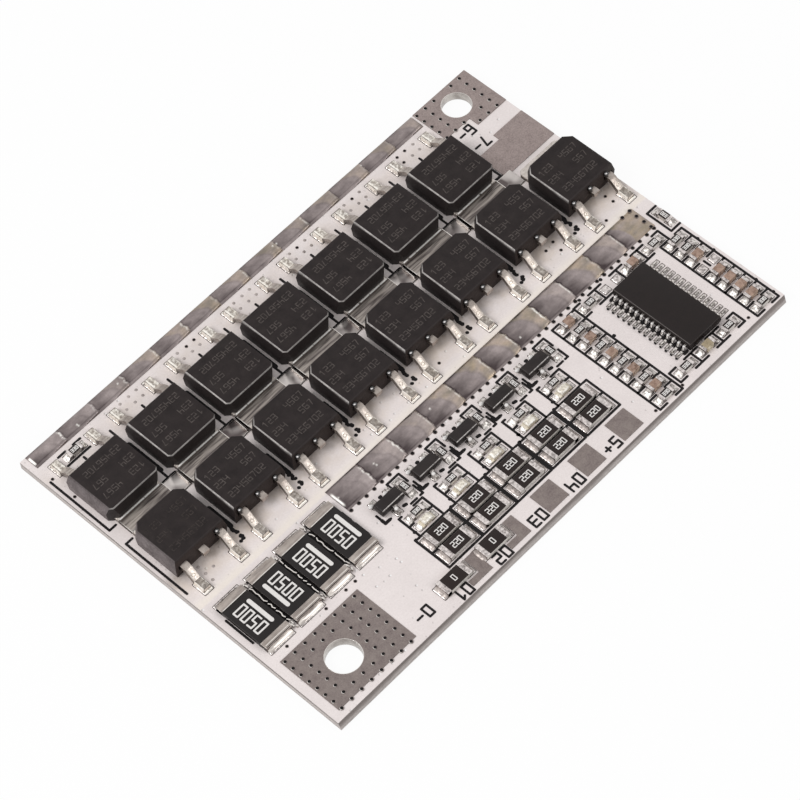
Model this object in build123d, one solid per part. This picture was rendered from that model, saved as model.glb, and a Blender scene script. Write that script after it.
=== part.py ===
# Battery management board: a white circuit board with two rows of power transistors, four shunt
# resistors, five cell balancing channels, a controller chip and two solder-thickened rails.
# Millimetres, +Z up. The origin is the centre of the board's underside. X runs along the board,
# towards the controller, and Y across it, towards the outer solder rail.
import os
from math import atan2, floor, hypot, tan

from build123d import *

# Board and its thin copper
board_thickness = 1.0
pad_thickness = 0.07

# Solder: the pools between tabs, and the fillets that run up the ends of soldered parts. A fillet
# is given as how far it runs out, how high it climbs, and how much narrower than the part it is.
pool_thickness = 0.18
pool_gap = 0.13
shunt_fillet = (0.42, 0.42, 0.2)
large_chip_fillet = (0.4, 0.38, 0.1)
link_fillet = (0.2, 0.38, 0.1)
small_chip_fillet = (0.4, 0.32, 0.06)
lamp_fillet = (0.35, 0.18, 0.06)
foot_fillet = (0.35, 0.3, 0.0)

# Power transistor: moulded body, drain tab and two formed leads
body_width = 6.5
body_length = 6.1
body_height = 2.3
body_parting_height = 1.2
body_upper_draft = 12.0
body_lower_draft = 4.0
body_corner_cut = 0.85
body_edge_break = 0.09
tab_width = 5.4
tab_reach = 1.0
tab_cover = 5.0
tab_corner_cut = 0.35
frame_thickness = 0.5
lead_width = 0.76
lead_pitch = 2.286
lead_reach = 2.9
lead_foot = 1.35
lead_shoulder = 0.45
lead_anchor = 0.9
lead_bend_radius = 0.6
lead_root_width = 1.12
lead_root_reach = 0.42
lead_height = 1.2
stub_reach = 0.65

# Transistor rows
load_count = 8
charge_count = 7
mosfet_gap = 1.0
row_left_margin = 0.95
row_right_margin = 0.05
tab_to_tab_gap = 0.1

# Chip parts: length, width and height, and how far the end caps reach in
shunt_size = (6.4, 3.2, 0.6)
shunt_cap = 0.8
large_chip_size = (3.2, 1.6, 0.55)
large_chip_cap = 0.5
small_chip_size = (1.6, 0.8, 0.45)
small_chip_cap = 0.32
cap_plating = 0.04
capacitor_height = 0.7

# Shunt resistors
shunt_count = 4
shunt_gap = 0.61
shunt_left_margin = 0.9
shunt_to_foot = 2.01
shunt_placing = (-0.05, -0.08, 0.0, 0.12)

# Battery pad with its fixing hole, and the vias that pierce the pads, drawn with few sides
battery_pad_size = (9.85, 7.25)
battery_pad_left = 0.95
battery_pad_bottom = 1.1
battery_pad_to_shunt = 1.59
battery_hole_radius = 1.8
battery_hole_from_pad_left = 4.15
battery_hole_from_pad_bottom = 3.4
via_radius = 0.15
via_sides = 6
via_pitch = (1.265, 0.993)
via_inset = (0.3, 0.35)
via_hole_clearance = 0.65

# Charger pad, with its fixing hole, and load pad
charger_pad_height = 5.6
charger_pad_gap = 0.2
charger_hole_radius = 1.56
charger_hole_from_right = 3.64
charger_hole_from_top = 2.4
charger_via_pitch = (1.21, 1.0)
charger_via_inset = (1.1, 0.4)
charger_notch = (3.35, 1.15)
load_pad_height = 4.3
load_pad_side_gap = 0.65
load_pad_tab_gap = 0.75
load_notch = (2.9, 0.75)

# Solder-thickened rails: each is a run of overlapping solder swells
rail_edge_height = 0.06
rail_low_crown = 0.1
rail_high_crown = 0.34
rail_shoulder_inset = 0.35
rail_shoulder_share = 0.72
outer_rail_width = 1.45
outer_rail_left = 0.65
outer_rail_pitch = 4.0
outer_rail_gap = 0.3
outer_rail_margin = 0.25
outer_rail_to_foot = 0.85
middle_rail_width = 2.95
middle_rail_pitch = 3.87
middle_rail_right = 1.9
middle_rail_flat = 4.6
middle_rail_to_foot = 0.8
middle_rail_to_parts = 1.0
shunt_to_rail = 0.67

# Cell tap pads, with link resistors over the corners of the first two
tap_count = 5
tap_pad_size = (2.55, 2.5)
tap_pad_gap = 2.525
tap_pad_inset = 1.7
tap_pad_bottom = 0.75
link_count = 2
link_lap = 0.9
link_clearance = 0.5

# Balancing channels: gate transistor, gate resistor, drive resistor, lamp and two load resistors
channel_count = 5
channel_inset = 1.45
channel_gap = 0.85
gate_resistor_gap = 0.35
gate_resistor_rise = 0.15
balance_inset = 2.3
balance_column_gap = 1.4
balance_to_tap = 0.73
balance_row_gap = 0.35
lamp_gap = 0.67
drive_resistor_gap = 0.4
gate_transistor_gap = 0.85

# Small outline transistor
sot_size = (2.9, 1.3, 1.0)
sot_span = 2.4
sot_lead_width = 0.42
sot_lead_pitch = 0.95
sot_lead_thickness = 0.13
sot_foot = 0.35
sot_shoulder = 0.11

# Indicator lamp
lamp_base_height = 0.22
lamp_lens_length = 1.1
lamp_lens_height = 0.42
lamp_lens_bevel = 0.14

# Controller chip
chip_size = (4.4, 9.7, 1.0)
chip_span = 6.4
chip_pins_a_side = 14
chip_pin_pitch = 0.65
chip_pin_width = 0.24
chip_pin_thickness = 0.14
chip_foot = 0.6
chip_shoulder = 0.17
leaded_standoff = 0.1
leaded_draft = 11.0
lead_seat_anchor = 0.25

# Controller's surroundings
control_gap = 2.3
control_chip_gap = (3.2, 2.4)
control_right_margin = 1.2
column_bottom = 0.83
column_pitch = 1.33
column_rows = 10
column_to_row = 1.7
chip_to_support = 0.4
chip_to_top_row = 0.5
support_row_bottom = 1.4
support_row_gap = 1.4
support_row_shift = 0.75
edge_resistor_margin = 0.2
edge_resistor_drop = 0.05
row_resistor_rise = 0.45


# Layout. Places along the board are measured from its left edge, and places across it from its
# bottom edge, and all of it is moved to the centre of the board when it is written out.
mosfet_pitch = body_width + mosfet_gap
shunt_length, shunt_width, shunt_height = shunt_size
large_length, large_width, large_height = large_chip_size
small_length, small_width, small_height = small_chip_size

middle_rail_left = (
    shunt_left_margin + shunt_count * shunt_width + (shunt_count - 1) * shunt_gap + shunt_to_rail
)
channel_pitch = sot_size[0] + gate_resistor_gap + small_width + channel_gap
channel_left = middle_rail_left + channel_inset
channel_right = channel_left + channel_count * channel_pitch - channel_gap
balance_pitch = large_length + balance_column_gap
balance_left = middle_rail_left + balance_inset
balance_right = balance_left + channel_count * balance_pitch - balance_column_gap
tap_pitch = tap_pad_size[0] + tap_pad_gap
tap_left = middle_rail_left + tap_pad_inset
tap_right = tap_left + tap_count * tap_pitch - tap_pad_gap

left_column = max(channel_right, balance_right, tap_right) + control_gap + small_length / 2
chip_centre = left_column + small_length / 2 + control_chip_gap[0] + chip_span / 2
right_column = chip_centre + chip_span / 2 + control_chip_gap[1] + small_length / 2

load_row_right = row_left_margin + load_count * mosfet_pitch - mosfet_gap
charge_row_right = row_left_margin + charge_count * mosfet_pitch - mosfet_gap
board_length = max(
    load_row_right + row_right_margin, right_column + small_length / 2 + control_right_margin
)

tap_top = tap_pad_bottom + tap_pad_size[1]
balance_rows = [tap_top + balance_to_tap + large_width / 2]
balance_rows.append(balance_rows[0] + large_width + balance_row_gap)
lamp_row = balance_rows[1] + large_width / 2 + lamp_gap + small_width / 2
drive_row = lamp_row + small_width + drive_resistor_gap
sot_row = drive_row + small_width / 2 + gate_transistor_gap + sot_span / 2
gate_resistor_row = sot_row + gate_resistor_rise

support_row = support_row_bottom + small_width / 2
chip_row = support_row + small_width / 2 + chip_to_support + chip_size[1] / 2
column_first = column_bottom + small_width / 2
column_last = column_first + (column_rows - 1) * column_pitch
top_row = max(column_last, chip_row + chip_size[1] / 2 + chip_to_top_row + small_width / 2)
support_top_pitch = (right_column - column_to_row - left_column) / 4

middle_rail_bottom = middle_rail_to_parts + max(
    sot_row + sot_span / 2, gate_resistor_row + small_length / 2, top_row + small_width / 2
)
middle_rail_top = middle_rail_bottom + middle_rail_width

shunt_bottom = battery_pad_bottom + battery_pad_size[1] + battery_pad_to_shunt
load_foot = max(
    shunt_bottom + shunt_length + shunt_to_foot, middle_rail_top + middle_rail_to_foot
)
load_body = load_foot + lead_reach
tab_meeting = load_body + body_length + tab_reach
charge_body = tab_meeting + tab_to_tab_gap + tab_reach
charge_foot = charge_body + body_length + lead_reach
outer_rail_bottom = charge_foot + outer_rail_to_foot
board_width = outer_rail_bottom + outer_rail_width + outer_rail_margin

battery_hole = (
    battery_pad_left + battery_hole_from_pad_left,
    battery_pad_bottom + battery_hole_from_pad_bottom,
)
charger_hole = (board_length - charger_hole_from_right, board_width - charger_hole_from_top)
top = board_thickness


def write(node, solids):
    """Moves solids from the corner layout to the board's centre and writes them as one node."""
    placed = [Pos(-board_length / 2, -board_width / 2, 0) * s for s in solids]
    export_step(placed[0] if len(placed) == 1 else Compound(placed), f"parts/{node}.step")


def plate(left, bottom, width, height, base, thickness):
    return Pos(left + width / 2, bottom + height / 2, base + thickness / 2) * Box(
        width, height, thickness
    )


def drilled(solid, place, radius):
    """The solid with one round hole right through it."""
    return solid - Pos(*place, 0) * Cylinder(radius, 4 * board_thickness)


def pierced(pad, places):
    """The pad with a via hole right through it at each place."""
    via = extrude(RegularPolygon(via_radius, via_sides), amount=4 * board_thickness)
    drills = [Pos(u, v, 0) * via for u, v in places]
    return pad - drills if drills else pad


def grid(first, pitch, counts, hole, hole_radius):
    """Places of a drilled grid, less those that would break into the fixing hole."""
    keep_off = hole_radius + via_hole_clearance
    places = [
        (first[0] + i * pitch[0], first[1] + j * pitch[1])
        for i in range(counts[0])
        for j in range(counts[1])
    ]
    return [(u, v) for u, v in places if hypot(u - hole[0], v - hole[1]) > keep_off]


def steps(span, pitch):
    """How many places a pitch gives along a span, both ends counted."""
    return floor(span / pitch) + 1


# Vias of the two pads that have a fixing hole
battery_vias = grid(
    (battery_pad_left + via_inset[0], battery_pad_bottom + battery_pad_size[1] - via_inset[1]),
    (via_pitch[0], -via_pitch[1]),
    (
        steps(battery_pad_size[0] - 2 * via_inset[0], via_pitch[0]),
        steps(battery_pad_size[1] - via_inset[1] + via_radius, via_pitch[1]),
    ),
    battery_hole,
    battery_hole_radius,
)
load_pad_left = charge_row_right + load_pad_side_gap
load_pad_bottom = tab_meeting + load_pad_tab_gap
charger_pad_left = charge_row_right + charger_pad_gap
charger_pad_width = board_length - charger_pad_left
charger_pad_bottom = board_width - charger_pad_height
charger_notch_right = charger_pad_left + charger_notch[0]
charger_notch_top = charger_pad_bottom + charger_notch[1]
charger_vias = [
    (u, v)
    for u, v in grid(
        (board_length - charger_via_inset[0], board_width - charger_via_inset[1]),
        (-charger_via_pitch[0], -charger_via_pitch[1]),
        (
            steps(charger_pad_width - charger_via_inset[0] - via_radius, charger_via_pitch[0]),
            steps(charger_pad_height - charger_via_inset[1] - via_radius, charger_via_pitch[1]),
        ),
        charger_hole,
        charger_hole_radius,
    )
    if u > charger_notch_right or v > charger_notch_top - via_radius
]
middle_rail_length = board_length - middle_rail_right - middle_rail_left


def circuit_board():
    blank = plate(0, 0, board_length, board_width, 0, board_thickness)
    blank = drilled(blank, battery_hole, battery_hole_radius)
    return drilled(blank, charger_hole, charger_hole_radius)


def battery_pad():
    pad = plate(battery_pad_left, battery_pad_bottom, *battery_pad_size, top, pad_thickness)
    return pierced(drilled(pad, battery_hole, battery_hole_radius), battery_vias)


def charger_pad():
    size = (charger_pad_width, charger_pad_height)
    pad = plate(charger_pad_left, charger_pad_bottom, *size, top, pad_thickness)
    pad -= plate(charger_pad_left, charger_pad_bottom, *charger_notch, top, pad_thickness)
    return pierced(drilled(pad, charger_hole, charger_hole_radius), charger_vias)


def load_pad():
    width = board_length - load_pad_left
    pad = plate(load_pad_left, load_pad_bottom, width, load_pad_height, top, pad_thickness)
    notch_bottom = load_pad_bottom + load_pad_height - load_notch[1]
    return pad - plate(load_pad_left, notch_bottom, *load_notch, top, pad_thickness)


def link_centre(i):
    return tap_left + i * tap_pitch + link_lap - large_length / 2, tap_top - large_width / 2


def tap_pads():
    pads = []
    for i in range(tap_count):
        left = tap_left + i * tap_pitch
        pad = plate(left, tap_pad_bottom, *tap_pad_size, top, pad_thickness)
        if i < link_count:
            u, v = link_centre(i)
            keep = (large_length + 2 * link_clearance, large_width + link_clearance / 2)
            corner = (u - keep[0] / 2, v + large_width / 2 - keep[1])
            pad -= plate(*corner, *keep, top, pad_thickness)
        pads.append(pad)
    return pads


def crown_face(u, width, crown):
    """A rail's section at u: flat below, with low sides, sloping shoulders and a ridge."""
    half = width / 2
    shoulder = half - rail_shoulder_inset
    shoulder_height = rail_edge_height + rail_shoulder_share * crown
    right = [(half, 0), (half, rail_edge_height), (shoulder, shoulder_height)]
    left = [(-y, z) for y, z in reversed(right)]
    plane = Plane(origin=(u, 0, 0), x_dir=(0, 1, 0), z_dir=(1, 0, 0))
    outline = Polyline(*right, (0, rail_edge_height + crown), *left, close=True)
    return plane * make_face(outline)


def solder_rail(length, width, pitch):
    """Solder swells along +X from 0: each rises along its length and steps down to the next."""
    count = max(1, round(length / pitch))
    run = length / count
    low = crown_face(0, width, rail_low_crown)
    high = crown_face(run, width, rail_high_crown)
    swell = loft([low, high], ruled=True)
    return Part() + [Pos(i * run, 0, 0) * swell for i in range(count)]


def outer_rail():
    length = charger_pad_left - outer_rail_gap - outer_rail_left
    rail = solder_rail(length, outer_rail_width, outer_rail_pitch)
    return Pos(outer_rail_left, outer_rail_bottom + outer_rail_width / 2, top) * rail


def middle_rail():
    swollen = middle_rail_length - middle_rail_flat
    rail = solder_rail(swollen, middle_rail_width, middle_rail_pitch)
    rail += plate(
        swollen, -middle_rail_width / 2, middle_rail_flat, middle_rail_width, 0, rail_edge_height
    )
    return Pos(middle_rail_left, middle_rail_bottom + middle_rail_width / 2, top) * rail


def gull_wing(reach, foot, shoulder, anchor, height, thickness, width, bend=0.0):
    """A formed lead that leaves a body's face at y 0, towards -Y, and lands its foot on z 0.
    anchor is how far it reaches back into the body, and height its centre where it leaves.
    bend is the radius outside its two bends, or 0 for sharp ones."""
    drop = height - thickness / 2
    run = reach - foot - shoulder
    mitre = tan(atan2(drop, run) / 2)
    centreline = [
        (anchor, height),
        (-shoulder, height),
        (-shoulder - run, thickness / 2),
        (-reach, thickness / 2),
    ]
    half = thickness / 2
    leans = (0, mitre, mitre, 0)
    above = [(y - half * lean, z + half) for (y, z), lean in zip(centreline, leans)]
    below = [(y + half * lean, z - half) for (y, z), lean in zip(centreline, leans)]
    side = Plane.YZ * make_face(Polyline(*above, *reversed(below), close=True))
    if bend:
        side = fillet(corners_near(side, above[1], below[2]), bend)
    return extrude(side, amount=width / 2, both=True)


def corners_near(side, *points):
    """The corner of a face in the YZ plane that lies nearest to each (y, z) point."""
    corners = side.vertices()
    return [corners.sort_by(lambda c: hypot(c.Y - y, c.Z - z))[0] for y, z in points]


def moulded(width, length, height, parting, upper_draft, lower_draft, cut=0.0):
    """A moulded block on z 0 with its centre at the origin, drafted both ways from its parting
    line. cut takes the two corners off at its +Y end."""
    half, end = width / 2, length / 2
    outline = [(-half, -end), (half, -end), (half, end - cut), (half - cut, end)]
    outline += [(cut - half, end), (-half, end - cut)]
    if not cut:
        outline = [(-half, -end), (half, -end), (half, end), (-half, end)]
    face = Pos(0, 0, parting) * make_face(Polyline(*outline, close=True))
    upper = extrude(face, amount=height - parting, taper=upper_draft)
    lower = extrude(face, amount=-parting, taper=lower_draft)
    return upper + lower


def mosfet():
    """The moulded body and the three pieces of its frame, centred on the body, tab to +Y."""
    end = body_length / 2
    tab = plate(-tab_width / 2, end - tab_cover, tab_width, tab_cover + tab_reach, 0, frame_thickness)
    tab = chamfer(tab.edges().filter_by(Axis.Z).group_by(Axis.Y)[-1], tab_corner_cut)
    half = frame_thickness / 2
    left = -lead_width / 2
    stub_length = stub_reach + body_length - tab_cover + frame_thickness
    under = lead_height - half
    stub = plate(left, -end - stub_reach, lead_width, stub_length, under, frame_thickness)
    riser = plate(left, end - tab_cover, lead_width, frame_thickness, 0, under + frame_thickness)
    drain = tab + riser + stub
    lead = gull_wing(
        lead_reach, lead_foot, lead_shoulder, lead_anchor, lead_height, frame_thickness, lead_width,
        lead_bend_radius,
    )
    root_length = lead_root_reach + lead_anchor
    left = -lead_root_width / 2
    lead += plate(left, -lead_root_reach, lead_root_width, root_length, under, frame_thickness)
    leads = [Pos(side * lead_pitch, -end, 0) * lead for side in (-1, 1)]
    block = moulded(
        body_width, body_length, body_height, body_parting_height, body_upper_draft,
        body_lower_draft, body_corner_cut,
    )
    block = chamfer(block.faces().sort_by(Axis.Z)[-1].edges(), body_edge_break)
    for piece in [drain, *leads]:
        block -= piece
    return block, [drain, *leads]


def mosfet_places():
    """Where each transistor stands: the load row's tabs face +Y and the charge row's face -Y."""
    centres = [row_left_margin + body_width / 2 + i * mosfet_pitch for i in range(load_count)]
    load = [Pos(u, load_body + body_length / 2, top) for u in centres]
    charge = [
        Pos(u, charge_body + body_length / 2, top) * Rot(0, 0, 180) for u in centres[:charge_count]
    ]
    return load + charge


def solder_pools():
    """The pools of solder that run between one pair of tabs and the next."""
    pools = []
    bottom = tab_meeting - tab_reach
    for i in range(charge_count):
        left = row_left_margin + (body_width + tab_width) / 2 + i * mosfet_pitch
        right = left + mosfet_pitch - tab_width - pool_gap
        pool_top = tab_meeting + tab_to_tab_gap + tab_reach
        if right > load_pad_left:
            pool_top = min(pool_top, load_pad_bottom)
        pools.append(plate(left, bottom, right - left, pool_top - bottom, top, pool_thickness))
    return pools


def fillet_wedge(width, fillet):
    """A solder fillet against a part's end face at y 0, running out towards -Y on z 0."""
    run, climb, narrower = fillet
    side = Plane.YZ * make_face(Polyline((0, 0), (-run, 0), (0, climb), close=True))
    return extrude(side, amount=(width - narrower) / 2, both=True)


def end_fillets(length, width, fillet):
    """Fillets at both ends of a part that lies along X with its centre at the origin."""
    wedge = fillet_wedge(width, fillet)
    return [
        Pos(-length / 2, 0, 0) * Rot(0, 0, -90) * wedge,
        Pos(length / 2, 0, 0) * Rot(0, 0, 90) * wedge,
    ]


def capped_chip(size, cap):
    """A chip resistor lying along X on z 0: its body, and the two plated caps wrapped round it."""
    length, width, height = size
    left = cap_plating - length / 2
    core_height = height - 2 * cap_plating
    body = plate(left, -width / 2, -2 * left, width, cap_plating, core_height)
    ends = [
        plate(-length / 2, -width / 2, cap, width, 0, height),
        plate(length / 2 - cap, -width / 2, cap, width, 0, height),
    ]
    return body, [end - body for end in ends]


def block_chip(height):
    """A small chip along X on z 0: its middle, and its two solid-looking ends."""
    middle = small_length - 2 * small_chip_cap
    body = plate(-middle / 2, -small_width / 2, middle, small_width, 0, height)
    end = plate(middle / 2, -small_width / 2, small_chip_cap, small_width, 0, height)
    return body, [end, Rot(0, 0, 180) * end]


def lamp():
    front = -small_width / 2
    base = plate(-small_length / 2, front, small_length, small_width, 0, lamp_base_height)
    left = -lamp_lens_length / 2
    lens = plate(left, front, lamp_lens_length, small_width, lamp_base_height, lamp_lens_height)
    lens = chamfer(lens.faces().sort_by(Axis.Z)[-1].edges(), lamp_lens_bevel)
    return base, lens


def small_transistor():
    """A three-legged transistor along X: one leg towards -Y and two towards +Y."""
    length, width, height = sot_size
    middle = leaded_standoff + height / 2
    body = moulded(length, width, height, height / 2, leaded_draft, leaded_draft)
    body = Pos(0, 0, leaded_standoff) * body
    reach = (sot_span - width) / 2
    leg = gull_wing(
        reach, sot_foot, sot_shoulder, lead_seat_anchor, middle, sot_lead_thickness, sot_lead_width
    )
    legs = [Pos(0, -width / 2, 0) * leg]
    turned = Rot(0, 0, 180) * leg
    legs += [Pos(side * sot_lead_pitch, width / 2, 0) * turned for side in (-1, 1)]
    for piece in legs:
        body -= piece
    return body, legs


def controller():
    """The controller chip, its pins along both long sides."""
    width, length, height = chip_size
    middle = leaded_standoff + height / 2
    body = moulded(width, length, height, height / 2, leaded_draft, leaded_draft)
    body = Pos(0, 0, leaded_standoff) * body
    reach = (chip_span - width) / 2
    pin = gull_wing(
        reach, chip_foot, chip_shoulder, lead_seat_anchor, middle, chip_pin_thickness, chip_pin_width
    )
    pins = []
    for i in range(chip_pins_a_side):
        along = (i - (chip_pins_a_side - 1) / 2) * chip_pin_pitch
        pins.append(Pos(-width / 2, along, 0) * Rot(0, 0, -90) * pin)
        pins.append(Pos(width / 2, along, 0) * Rot(0, 0, 90) * pin)
    for piece in pins:
        body -= piece
    return body, pins


def small_chip_places():
    """Places of the small resistors and of the capacitors, each along X or turned along Y."""
    turned = Rot(0, 0, 90)
    column = [column_first + i * column_pitch for i in range(column_rows)]
    resistors = [Pos(left_column, v, top) for v in column[0::2]]
    capacitors = [Pos(left_column, v, top) for v in column[1::2]]
    resistors += [Pos(right_column, column[i], top) for i in (0, 7, 8)]
    capacitors += [Pos(right_column, column[i], top) for i in (1, 2, 3, 4, 6)]
    resistors += [Pos(left_column + i * support_top_pitch, top_row, top) for i in (1, 4)]
    capacitors += [Pos(left_column + 3 * support_top_pitch, top_row, top)]
    support = small_length + support_row_gap
    centre = chip_centre - support_row_shift
    resistors += [Pos(centre + side * support, support_row, top) for side in (-1, 1)]
    capacitors += [Pos(centre, support_row, top)]
    edge = board_length - edge_resistor_margin - small_width / 2
    resistors += [Pos(edge, middle_rail_bottom - edge_resistor_drop, top) * turned]
    resistors += [Pos(row_left_margin + body_width / 2, charge_foot - row_resistor_rise, top)]
    for i in range(channel_count):
        gate = channel_left + i * channel_pitch + sot_size[0] + gate_resistor_gap + small_width / 2
        resistors.append(Pos(gate, gate_resistor_row, top) * turned)
        column_centre = balance_left + large_length / 2 + i * balance_pitch
        resistors.append(Pos(column_centre, drive_row, top))
    return resistors, capacitors


def main():
    os.makedirs("parts", exist_ok=True)
    write("circuit_board", [circuit_board()])
    write("battery_pad", [battery_pad()])
    write("charger_pad", [charger_pad()])
    write("load_pad", [load_pad()])
    write("cell_tap_pads", tap_pads())
    write("outer_solder_rail", [outer_rail()])
    write("middle_solder_rail", [middle_rail()])

    solder = solder_pools()
    block, frame = mosfet()
    toe = Pos(0, -body_length / 2 - lead_reach, 0) * fillet_wedge(lead_width, foot_fillet)
    for number, place in enumerate(mosfet_places(), 1):
        solder += [place * Pos(side * lead_pitch, 0, 0) * toe for side in (-1, 1)]
        write(f"mosfet_{number:02d}_body", [place * block])
        write(f"mosfet_{number:02d}_frame", [place * piece for piece in frame])

    element, caps = capped_chip(shunt_size, shunt_cap)
    ends = end_fillets(shunt_length, shunt_width, shunt_fillet)
    for i in range(shunt_count):
        u = shunt_left_margin + shunt_width / 2 + i * (shunt_width + shunt_gap)
        place = Pos(u, shunt_bottom + shunt_length / 2 + shunt_placing[i], top) * Rot(0, 0, 90)
        write(f"shunt_{i + 1}_element", [place * element])
        write(f"shunt_{i + 1}_caps", [place * piece for piece in caps])
        solder += [place * piece for piece in ends]

    chip, caps = capped_chip(large_chip_size, large_chip_cap)
    links = [Pos(*link_centre(i), top) for i in range(link_count)]
    write("link_resistor_bodies", [place * chip for place in links])
    write("link_resistor_caps", [place * piece for place in links for piece in caps])
    columns = [balance_left + large_length / 2 + i * balance_pitch for i in range(channel_count)]
    loads = [Pos(u, v, top) for u in columns for v in balance_rows]
    write("balance_resistor_bodies", [place * chip for place in loads])
    write("balance_resistor_caps", [place * piece for place in loads for piece in caps])
    for places, size in ((loads, large_chip_fillet), (links, link_fillet)):
        ends = end_fillets(large_length, large_width, size)
        solder += [place * piece for place in places for piece in ends]

    base, lens = lamp()
    lamps = [Pos(u, lamp_row, top) for u in columns]
    write("lamp_bases", [place * base for place in lamps])
    write("lamp_lenses", [place * lens for place in lamps])

    body, legs = small_transistor()
    gates = [
        Pos(channel_left + sot_size[0] / 2 + i * channel_pitch, sot_row, top)
        for i in range(channel_count)
    ]
    write("gate_transistor_bodies", [place * body for place in gates])
    write("gate_transistor_legs", [place * leg for place in gates for leg in legs])

    body, pins = controller()
    place = Pos(chip_centre, chip_row, top)
    write("controller_body", [place * body])
    write("controller_pins", [place * pin for pin in pins])

    resistors, capacitors = small_chip_places()
    ends = end_fillets(small_length, small_width, small_chip_fillet)
    solder += [place * piece for place in resistors + capacitors for piece in ends]
    ends = end_fillets(small_length, small_width, lamp_fillet)
    solder += [place * piece for place in lamps for piece in ends]
    write("solder_joints", solder)

    body, ends = block_chip(small_height)
    write("small_resistor_bodies", [place * body for place in resistors])
    write("small_resistor_caps", [place * end for place in resistors for end in ends])
    body, ends = block_chip(capacitor_height)
    write("capacitor_bodies", [place * body for place in capacitors])
    write("capacitor_caps", [place * end for place in capacitors for end in ends])


main()
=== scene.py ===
# Battery management board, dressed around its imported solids.
# Lengths in the tables are millimetres, from the centre of the board, as in the part.
import math
import random

import bpy
from mathutils import Matrix, Vector, noise


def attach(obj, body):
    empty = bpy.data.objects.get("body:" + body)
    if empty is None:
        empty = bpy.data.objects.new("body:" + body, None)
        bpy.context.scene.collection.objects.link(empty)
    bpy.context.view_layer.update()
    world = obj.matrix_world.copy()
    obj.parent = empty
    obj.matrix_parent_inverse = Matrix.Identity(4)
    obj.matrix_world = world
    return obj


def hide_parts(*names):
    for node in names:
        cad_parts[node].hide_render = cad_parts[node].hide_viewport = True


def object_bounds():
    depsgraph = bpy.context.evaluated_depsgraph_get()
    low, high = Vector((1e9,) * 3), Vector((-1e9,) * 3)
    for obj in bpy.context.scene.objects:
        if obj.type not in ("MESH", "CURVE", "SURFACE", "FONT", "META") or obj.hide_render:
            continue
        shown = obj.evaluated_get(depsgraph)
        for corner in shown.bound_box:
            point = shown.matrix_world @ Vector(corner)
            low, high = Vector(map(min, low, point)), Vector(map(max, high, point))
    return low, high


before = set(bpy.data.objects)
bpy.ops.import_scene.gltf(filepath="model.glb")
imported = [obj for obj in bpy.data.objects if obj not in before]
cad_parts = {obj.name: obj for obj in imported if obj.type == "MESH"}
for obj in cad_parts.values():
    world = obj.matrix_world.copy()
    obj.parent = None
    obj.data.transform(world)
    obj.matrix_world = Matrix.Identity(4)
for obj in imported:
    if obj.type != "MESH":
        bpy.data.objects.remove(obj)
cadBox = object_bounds()
mm = 0.001
boardTop = 1.0
random.seed(7)
print("frame loaded:", len(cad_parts), "nodes")


# Small helpers for selecting, copying and finishing pieces

def link(name, data):
    item = bpy.data.objects.new(name, data)
    bpy.context.scene.collection.objects.link(item)
    return item


def activate(*pieces):
    for item in list(bpy.context.selected_objects):
        item.select_set(False)
    for piece in pieces:
        piece.select_set(True)
    bpy.context.view_layer.objects.active = pieces[0]


def newPiece(name, mesh):
    piece = link(name, mesh)
    activate(piece)
    return piece


def switchTo(mode):
    bpy.ops.object.mode_set(mode=mode)


def pick(kind, items, wanted):
    # selects the edges or faces that are wanted, and stays in edit mode
    switchTo("EDIT")
    bpy.ops.mesh.select_mode(type=kind)
    bpy.ops.mesh.select_all(action="DESELECT")
    switchTo("OBJECT")
    for item in items:
        item.select = wanted(item)
    switchTo("EDIT")


def applyPlace(piece):
    activate(piece)
    bpy.ops.object.transform_apply(location=True, rotation=True, scale=True)


def applyModifier(piece, kind, **settings):
    activate(piece)
    modifier = piece.modifiers.new(kind.lower(), kind)
    for key, value in settings.items():
        setattr(modifier, key, value)
    bpy.ops.object.modifier_apply(modifier=modifier.name)


def smooth(piece, degrees=40):
    activate(piece)
    bpy.ops.object.shade_smooth_by_angle(angle=math.radians(degrees))


def joinAs(name, pieces):
    activate(*pieces)
    if len(pieces) > 1:
        bpy.ops.object.join()
    pieces[0].name = pieces[0].data.name = name
    return pieces[0]


def stretch(mesh, longer, wider):
    # moves the two halves of a mesh apart, or nearer, along X and along Y
    for vertex in mesh.vertices:
        vertex.co.x += math.copysign(longer, vertex.co.x * longer) * mm / 2
        vertex.co.y += math.copysign(wider, vertex.co.y * wider) * mm / 2


def copyTo(master, name, places, stretches=()):
    # one copy with its own mesh at each place, stretched where asked, joined into one piece
    copies = []
    for i, place in enumerate(places):
        mesh = master.data.copy()
        if stretches:
            stretch(mesh, *stretches[i])
        mesh.transform(place)
        copies.append(link(name, mesh))
    bpy.data.objects.remove(master)
    return joinAs(name, copies)


def settle(piece, looks=(), nodes=()):
    # the piece rides on the board and takes its finish
    if looks:
        piece.data.materials.clear()
    for look in looks:
        piece.data.materials.append(material[look])
    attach(piece, "root")
    if nodes:
        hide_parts(*nodes)


def at(x, y, z=0.0, degrees=0.0, scale=(1, 1, 1)):
    return (
        Matrix.Translation((x * mm, y * mm, z * mm))
        @ Matrix.Rotation(math.radians(degrees), 4, "Z")
        @ Matrix.Diagonal((*scale, 1))
    )


def clamp(value, low=0.0, high=1.0):
    return max(low, min(high, value))


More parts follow.
